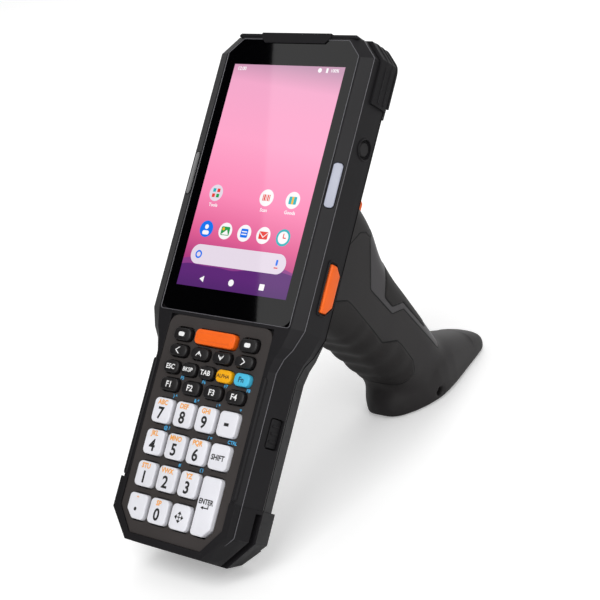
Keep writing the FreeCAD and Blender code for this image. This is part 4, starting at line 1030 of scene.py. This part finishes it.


# Beads along the glass, the rim and the split of the case, the bar over the glass and the rails by the keypad. The
# pale grey beads along the glass and the rim are painted highlights on those edges; the bead on the split is a
# dark seam
def makeCaseLines():
    c = caseLines
    half = [(c["glassHalf"] - c["glassCut"], c["glassTop"]), (c["glassHalf"], c["glassTop"] - c["glassCut"]),
            (c["glassHalf"], c["glassBottom"])]
    glass = atHeight(mirrored(half, c["lineRound"])[0], 0.0)
    addPiece("glass_edge_highlight", [bead(glass, c["glassHighlightLine"], "edgeLine")])
    rim = atHeight(caseLoop(c["headHalf"], c["keyHalf"], c["rimTop"], c["rimTail"]), c["rimDepth"])
    split = atHeight(caseLoop(c["splitHead"], c["splitKey"], c["splitTop"], c["splitTail"]), c["splitDepth"])
    lines = [bead(rim, c["rimHighlightLine"], "edgeLine"), bead(split, c["splitLine"], "seamLine")]
    addPiece("case_highlight_and_seam_lines", lines)
    bar, outward = mirrored([(c["barHalf"], c["barFoot"]), (c["barTopHalf"], c["barTop"])], c["barRound"])
    top = slab(bar, outward, c["barLow"], c["barHigh"], c["barEdge"], "bumperRubber")
    addPiece("top_edge_bar", [top])
    rail = (c["railY"], c["railWide"], c["railTall"], c["railRound"], c["railLow"], c["railHigh"], c["railEdge"])
    rails = [block(side * c["railX"], *rail, "casePlastic") for side in (1, -1)]
    addPiece("keypad_rails", rails)


# Ridges over the top corners: a path with a cut corner, whose points move towards their neighbours' middle
def makeRidges():
    c = caseLines
    inner, side, reach, cut = c["ridgeInner"], c["ridgeSide"], c["ridgeReach"], c["ridgeCut"]
    path = np.array([(inner, reach), (side - cut, reach), (side, reach - cut), (side, c["ridgeEnd"])])
    steps = [np.linspace(a, b, c["ridgeSteps"], endpoint=False) for a, b in zip(path[:-1], path[1:])]
    line = np.concatenate(steps + [path[-1:]])
    for _ in range(c["ridgeCalm"]):
        line[1:-1] = (line[:-2] + 2 * line[1:-1] + line[2:]) / 4
    ridges = [bead(atHeight(line * (way, 1), depth), c["ridgeRadius"], "bumperRubber", False)
              for depth in c["ridgeDepths"] for way in (1, -1)]
    addPiece("corner_ridges", ridges)


makeCaseLines()
makeRidges()

sideDetails = {
    "buttonTop": -76.0, "buttonBottom": -95.0, "buttonFront": -7.7, "buttonBack": -14.2, "buttonCut": 3.2,
    "surround": 1.1, "surroundBend": 1.2, "surroundRadius": 0.42, "side": 39.0, "powerY": -29.4,
    "powerZ": -10.4, "powerRing": 4.2, "powerRadius": 0.34, "powerFace": 38.3, "markWide": 0.9,
    "markTall": 2.6, "markBend": 0.4, "markProud": 0.12, "markEdge": 0.1, "sunk": 0.3, "coverFace": 31.5,
    "nubWide": 1.0, "nubProud": 0.35, "nubBend": 0.45, "nubEdge": 0.25, "nubs": (-140.7, -143.5, -146.6),
    "nubZ": -8.95, "nubTall": 4.1,
}


# Beads round the side buttons and the power button, the port cover's three nubs and the power button's bar
def makeSideDetails():
    d = sideDetails
    low, high = d["buttonBottom"] - d["surround"], d["buttonTop"] + d["surround"]
    front, back = d["buttonFront"] + d["surround"], d["buttonBack"] - d["surround"]
    inner = d["buttonBack"] + d["buttonCut"]
    corners = [(low, front), (low, inner), (d["buttonBottom"] + d["buttonCut"], back),
               (d["buttonTop"] - d["buttonCut"], back), (high, inner), (high, front)]
    loop = roundLoop(anticlockwise(corners), d["surroundBend"])[0]
    ring = circle(d["powerY"], d["powerZ"], d["powerRing"], 40)
    beads = [bead(turned(atHeight(loop, way * d["side"]), "x"), d["surroundRadius"], "casePlastic")
             for way in (1, -1)]
    beads.append(bead(turned(atHeight(ring, d["side"]), "x"), d["powerRadius"], "casePlastic"))
    addPiece("side_surrounds", beads)
    nubs = [block(y, d["nubZ"], d["nubWide"], d["nubTall"], d["nubBend"], d["coverFace"] - d["sunk"],
                  d["coverFace"] + d["nubProud"], d["nubEdge"], "bumperRubber", "x") for y in d["nubs"]]
    addPiece("port_cover_nubs", nubs, "port_cover")
    bar = block(d["powerY"], d["powerZ"], d["markWide"], d["markTall"], d["markBend"], d["powerFace"] - d["sunk"],
                d["powerFace"] + d["markProud"], d["markEdge"], "edgeLine", "x")
    addPiece("power_mark", [bar], "power_button")


makeSideDetails()
print("case details made")

screenSizes = {
    "half": 28.1, "top": 0.0, "bottom": -93.6, "height": 0.03, "layer": 0.02, "glow": 1.0, "rows": 48,
    "columns": 28,
}
# The picture's skyline: waves, levels, slopes and softness of its hills, as shares of the picture
skyline = {
    "skySlope": 0.06, "longWave": 9.0, "longStart": 0.6, "longHigh": 0.006, "shortWave": 23.0,
    "shortHigh": 0.0025, "farWave": 1.6, "farLevel": 0.889, "farSlope": 0.006, "farSoft": 0.002,
    "nearLevel": 0.911, "nearSlope": 0.016, "nearSoft": 0.0015, "groundLevel": 0.955, "groundSlope": 0.01,
    "groundStart": 0.03, "groundEnd": 0.05,
}


# The lit picture in UV, across and down. The sky is a ramp of down less 0.06 of across about its middle. Two rows
# of hills begin where down, plus sines of across, passes a level; the lower ground fades in over the hills
def screenMaterial():
    k = skyline
    material, shader, tree = newMaterial("screenPicture")
    uv = tree.node("UVMap", {"uv_map": "screen"})
    across, down = (tree.node("SeparateXYZ", None, {"Vector": uv}, axis) for axis in (0, 1))
    sky = tree.node("ValToRGB", {"stops": [
        (0.0, tint(196, 150, 178)), (0.10, tint(244, 170, 204)), (0.35, tint(255, 168, 204)),
        (0.60, tint(253, 142, 186)), (0.78, tint(226, 98, 150)), (0.90, tint(176, 62, 128)),
        (1.0, tint(150, 56, 130)),
    ]}, {"Fac": down - (across - 0.5) * k["skySlope"]})
    long = tree.math("SINE", across * k["longWave"] + k["longStart"]) * k["longHigh"]
    wave = long + tree.math("SINE", across * k["shortWave"]) * k["shortHigh"]
    far = (down + wave * k["farWave"] - k["farLevel"] + across * k["farSlope"]).step(-k["farSoft"], k["farSoft"])
    near = (down + wave + across * k["nearSlope"] - k["nearLevel"]).step(-k["nearSoft"], k["nearSoft"])
    withFar = far.blend(sky, tint(142, 62, 138))
    hills = near.blend(withFar, tint(94, 42, 118))
    ground = (down - k["groundLevel"] - across * k["groundSlope"]).step(-k["groundStart"], k["groundEnd"])
    picture = ground.blend(hills, tint(84, 40, 110))
    connect(shader, Base_Color=tint(6, 4, 6), Emission_Color=picture, Emission_Strength=screenSizes["glow"],
            Roughness=0.04, Specular_IOR_Level=0.5)
    return material


# A glowing ink: its colour and one of 0.97 of it, blended by fine noise
def inkGlow(name, colour):
    material, shader, tree = newMaterial(name)
    connect(shader, Base_Color=tint(6, 6, 6), Emission_Strength=1.0, Roughness=0.04,
            Emission_Color=noise(tree, 900.0, 2.0).blend(shaded(colour, 0.97), colour))
    return material


iconColours = {
    "glowWhite": tint(252, 250, 252), "glowBlue": tint(24, 118, 240), "glowRed": tint(232, 60, 50),
    "glowGreen": tint(44, 160, 84), "glowYellow": tint(250, 190, 30), "glowGrey": tint(232, 220, 234),
    "glowTeal": tint(40, 180, 190),
}
# Marks on the screen: layer, colour, kind and sizes. Discs have a middle and a radius, plates and boxes a middle,
# width and height (plates a corner radius too), words a text, a middle and a size, shapes their corners
screenMarks = (
    # A dock of five round icons
    (0, "Blue", "disc", -20.1, -69.8, 3.45),
    *[(0, "White", "disc", x, -69.8, 3.45) for x in (-10.1, -0.3, 9.4, 19.3)],
    # A figure
    (1, "White", "disc", -20.1, -68.9, 0.95), (1, "White", "plate", -20.1, -71.3, 3.4, 1.7, 0.8),
    # A picture with a hill and a sun
    (1, "Green", "plate", -10.1, -69.8, 4.4, 3.6, 0.5), (2, "Yellow", "dot", -11.2, -69.0, 0.62),
    (2, "White", "shape", (-11.9, -71.3), (-8.3, -71.3), (-9.3, -69.2)),
    # A diary page
    (1, "Blue", "plate", -0.3, -69.8, 3.6, 3.6, 0.5),
    (2, "White", "box", -0.3, -69.2, 2.6, 0.45), (2, "White", "box", -0.3, -70.3, 2.6, 0.45),
    # A letter, with the line of its flap
    (1, "Red", "plate", 9.4, -69.8, 4.4, 3.1, 0.4),
    (2, "White", "shape", (7.4, -68.9), (9.4, -70.8), (11.4, -68.9), (11.4, -68.5), (9.4, -70.3),
     (7.4, -68.5)),
    # A clock with its hands
    (1, "Teal", "disc", 19.3, -69.8, 3.45),
    (2, "White", "disc", 19.3, -69.8, 2.5), (3, "Red", "box", 19.3, -69.0, 0.45, 1.8),
    (3, "Red", "box", 19.9, -69.9, 1.5, 0.45),
    # Four squares, the bars of a code, and a parcel with its band, above the dock
    (0, "Grey", "disc", -20.0, -54.7, 3.45), (1, "Teal", "box", -21.1, -53.6, 1.5, 1.5),
    (1, "Red", "box", -18.9, -53.6, 1.5, 1.5), (1, "Red", "box", -21.1, -55.8, 1.5, 1.5),
    (1, "Green", "box", -18.9, -55.8, 1.5, 1.5),
    (0, "White", "disc", 6.2, -54.7, 3.45),
    *[(1, "Red", "box", x, -54.7, wide, 2.6)
      for x, wide in ((4.5, 0.4), (5.3, 0.7), (6.1, 0.3), (6.9, 0.6), (7.7, 0.4))],
    (0, "White", "disc", 19.3, -54.7, 3.45), (1, "Teal", "plate", 19.3, -54.8, 3.7, 3.1, 0.35),
    (2, "Yellow", "box", 19.3, -54.8, 0.9, 3.1),
    *[(0, "White", "word", text, x, -59.7, 2.0) for text, x in (("Tools", -20.0), ("Scan", 6.2), ("Goods", 19.3))],
    # The search bar, with a ring and a microphone
    (0, "Grey", "plate", -0.4, -80.3, 48.6, 8.1, 4.0), (1, "Blue", "disc", -20.6, -80.4, 1.7),
    (2, "Grey", "disc", -20.6, -80.4, 1.0), (1, "Blue", "plate", 19.4, -79.8, 1.0, 2.4, 0.45),
    (1, "Red", "box", 19.4, -81.9, 1.9, 0.45),
    # Back, home and recent marks
    (0, "White", "shape", (-16.9, -90.1), (-14.7, -88.8), (-14.7, -91.4)),
    (0, "White", "disc", -0.4, -90.1, 1.35), (0, "White", "plate", 15.1, -90.1, 2.5, 2.5, 0.3),
    # The status row
    (0, "White", "word", "12:00", -23.6, -1.75, 2.1), (0, "White", "dot", 16.1, -1.6, 0.95),
    (0, "White", "box", 19.7, -1.6, 1.0, 1.9), (0, "White", "word", "100%", 23.6, -1.6, 1.9),
)


# One part of the screen's marks, at its layer's height
def screenMark(layer, colour, kind, *look):
    height = level(screenSizes["height"] + screenSizes["layer"] * (layer + 1))
    colour = "glow" + colour
    if kind == "word":
        return word(*look, height, colour)
    if kind == "plate":
        return plate(*look, height, colour)
    if kind in ("disc", "dot"):
        return disc(*look, height, colour, 28 if kind == "disc" else 16)
    return patch(rectangle(*look) if kind == "box" else look, height, colour)


# The screen: a grid whose UV runs across and down the lit field, and the marks over it
def makeScreen():
    s = screenSizes
    materials["screenPicture"] = screenMaterial()
    for name, colour in iconColours.items():
        materials[name] = inkGlow(name, colour)
    u, v = np.meshgrid(np.linspace(0, 1, s["columns"]), np.linspace(0, 1, s["rows"]))
    x = (2 * u - 1) * s["half"]
    y = s["top"] + v * (s["bottom"] - s["top"])
    spots = place(np.column_stack([x.ravel(), y.ravel(), np.full(x.size, s["height"])]))
    sides = [side[::-1] for side in gridFaces(s["rows"], s["columns"], False)]
    picture = addPiece("screen_picture", [(spots, sides, "screenPicture")], smooth=0)
    layer = picture.data.uv_layers.new(name="screen")
    corners = np.zeros(len(picture.data.loops), int)
    picture.data.loops.foreach_get("vertex_index", corners)
    layer.data.foreach_set("uv", np.column_stack([u.ravel(), v.ravel()])[corners].ravel())
    parts = [screenMark(*mark) for mark in screenMarks]
    addPiece("screen_marks", parts, smooth=0)


makeScreen()
print("screen made")

nodeFinishes = {
    "casePlastic": ("front_housing", "rear_housing", "battery_latch"),
    "bumperRubber": ("port_cover",),
    "panelPlastic": ("keypad_panel",),
    "gripPlastic": ("power_button",),
    "coverGlass": ("touch_glass",),
    "blackFilm": ("display_module",),
    "scanGlass": ("scan_window",),
    "matRubber": ("keypad_mat",),
    "board": ("main_board",),
    "batteryWrap": ("battery_pack",),
    "engine": ("scan_engine",),
    "steel": ("usb_connector", "housing_screws", "trigger_pin", "trigger_spring"),
}
for finish, names in nodeFinishes.items():
    for name in names:
        data = frame["nodes"][name].data
        data.materials.clear()
        data.materials.append(materials[finish])
print("CAD nodes finished")

studio = {
    "floorHalf": 4.0, "floorColour": (0.92, 0.92, 0.92, 1.0), "sky": 0.46, "floorLift": 0.30,
    "cardHeight": 320.0, "cardReach": 900.0, "lampTarget": (0, 0, 0.1),
}
# Place, size and power of the lamps
lamps = {
    "keyLamp": ((0.3, -0.9, 1.3), 0.7, 9.6), "fillLamp": ((1.1, -0.5, 0.7), 0.9, 4.0),
    "backLamp": ((-0.5, 0.9, 1.0), 0.7, 4.5),
}


# A flat sheet of the studio from its four corners
def stageSheet(name, corners, material):
    mesh = bpy.data.meshes.new(name)
    mesh.from_pydata(corners, [], [(0, 1, 2, 3)])
    mesh.materials.append(material)
    sheet = newObject(name, mesh)
    return sheet


# The floor: pale paper, lifted a little for camera rays alone, so that it runs into the backdrop's white
def makeFloor():
    half = studio["floorHalf"]
    lift = studio["floorLift"]
    material, paper, tree = newMaterial("floorPaint")
    shown = tree.node("LightPath", output="Is Camera Ray")
    connect(paper, Base_Color=studio["floorColour"], Roughness=0.9, Specular_IOR_Level=0.1,
            Emission_Color=shown.blend((0.0, 0.0, 0.0, 1.0), (lift, lift, lift, 1.0)), Emission_Strength=1.0)
    stageSheet("floor", [(-half, -half, 0), (half, -half, 0), (half, half, 0), (-half, half, 0)], material)


# A black card over the display's left, for reflections alone: its edge is the line where the glass shows
# the photograph's studio turn from dark to pale, mirrored from the camera's place
def makeCard():
    eye = np.array(view["place"])
    reflected = eye * (1, 1, -1)
    edge = []
    for spot in view["glossLine"]:
        spot = np.array((*spot, 0.0))
        edge.append(spot + (spot - reflected) * studio["cardHeight"] / eye[2])
    reach = studio["cardReach"]
    along = unit(edge[0] - edge[1]) * reach
    away = np.array((-reach, 0, 0))
    corners = [edge[1] - along, edge[0] + along, edge[0] + along + away, edge[1] - along + away]
    material, paper, _ = newMaterial("cardBlack")
    connect(paper, Base_Color=(0.0, 0.0, 0.0, 1.0), Roughness=1.0, Specular_IOR_Level=0.0)
    card = stageSheet("blackCard", place(corners).tolist(), material)
    card.visible_camera = False
    card.visible_diffuse = False
    card.visible_shadow = False
    card.visible_transmission = False


# White for camera, glossy and transmission rays; other rays get the sky's share of it
def makeWorld():
    world = bpy.data.worlds.new("studio")
    bpy.context.scene.world = world
    world.use_nodes = True
    tree = Wire(world.node_tree)
    background = world.node_tree.nodes["Background"]
    camera, glossy, passing = (tree.node("LightPath", output=name) for name in
                               ("Is Camera Ray", "Is Glossy Ray", "Is Transmission Ray"))
    direct = tree.math("MAXIMUM", tree.math("MAXIMUM", camera, glossy), passing)
    strength = studio["sky"] + direct * (1.0 - studio["sky"])
    connect(background, Strength=strength, Color=(1, 1, 1, 1))


# A soft square lamp that looks at a point above the floor's middle
def makeLamp(name, spot, size, power):
    data = bpy.data.lights.new(name, "AREA")
    data.size = size
    data.energy = power
    lamp = newObject(name, data)
    lamp.location = spot
    lamp.rotation_euler = (Vector(studio["lampTarget"]) - Vector(spot)).to_track_quat("-Z", "Y").to_euler()


makeFloor()
makeWorld()
for name, lamp in lamps.items():
    makeLamp(name, *lamp)

# The camera stands where the photograph's did, in the terminal's own frame
view = {"place": (389.0, -169.4, 453.6), "look": (-0.610, 0.132, -0.781), "right": (0.783, 0.246, -0.571),
        "lens": 92.76, "sensor": 36.0, "glossLine": ((-10.94, 9.22), (9.05, -71.8))}


# The camera's turn: the look and right directions of the terminal's frame, made square to each other
def makeCamera():
    look = unit(np.array(view["look"]) @ directions)
    right = np.array(view["right"]) @ directions
    right = unit(right - look * (right @ look))
    up = np.cross(right, look)
    data = bpy.data.cameras.new("camera")
    data.lens = view["lens"]
    data.sensor_width = view["sensor"]
    camera = newObject("camera", data)
    turn = Matrix(np.column_stack([right, up, -look]).tolist()).to_4x4()
    camera.matrix_world = Matrix.Translation(Vector(place([view["place"]])[0])) @ turn
    bpy.context.scene.camera = camera


makeCamera()
makeCard()
bpy.context.scene.view_settings.view_transform = "Standard"
print("studio made")
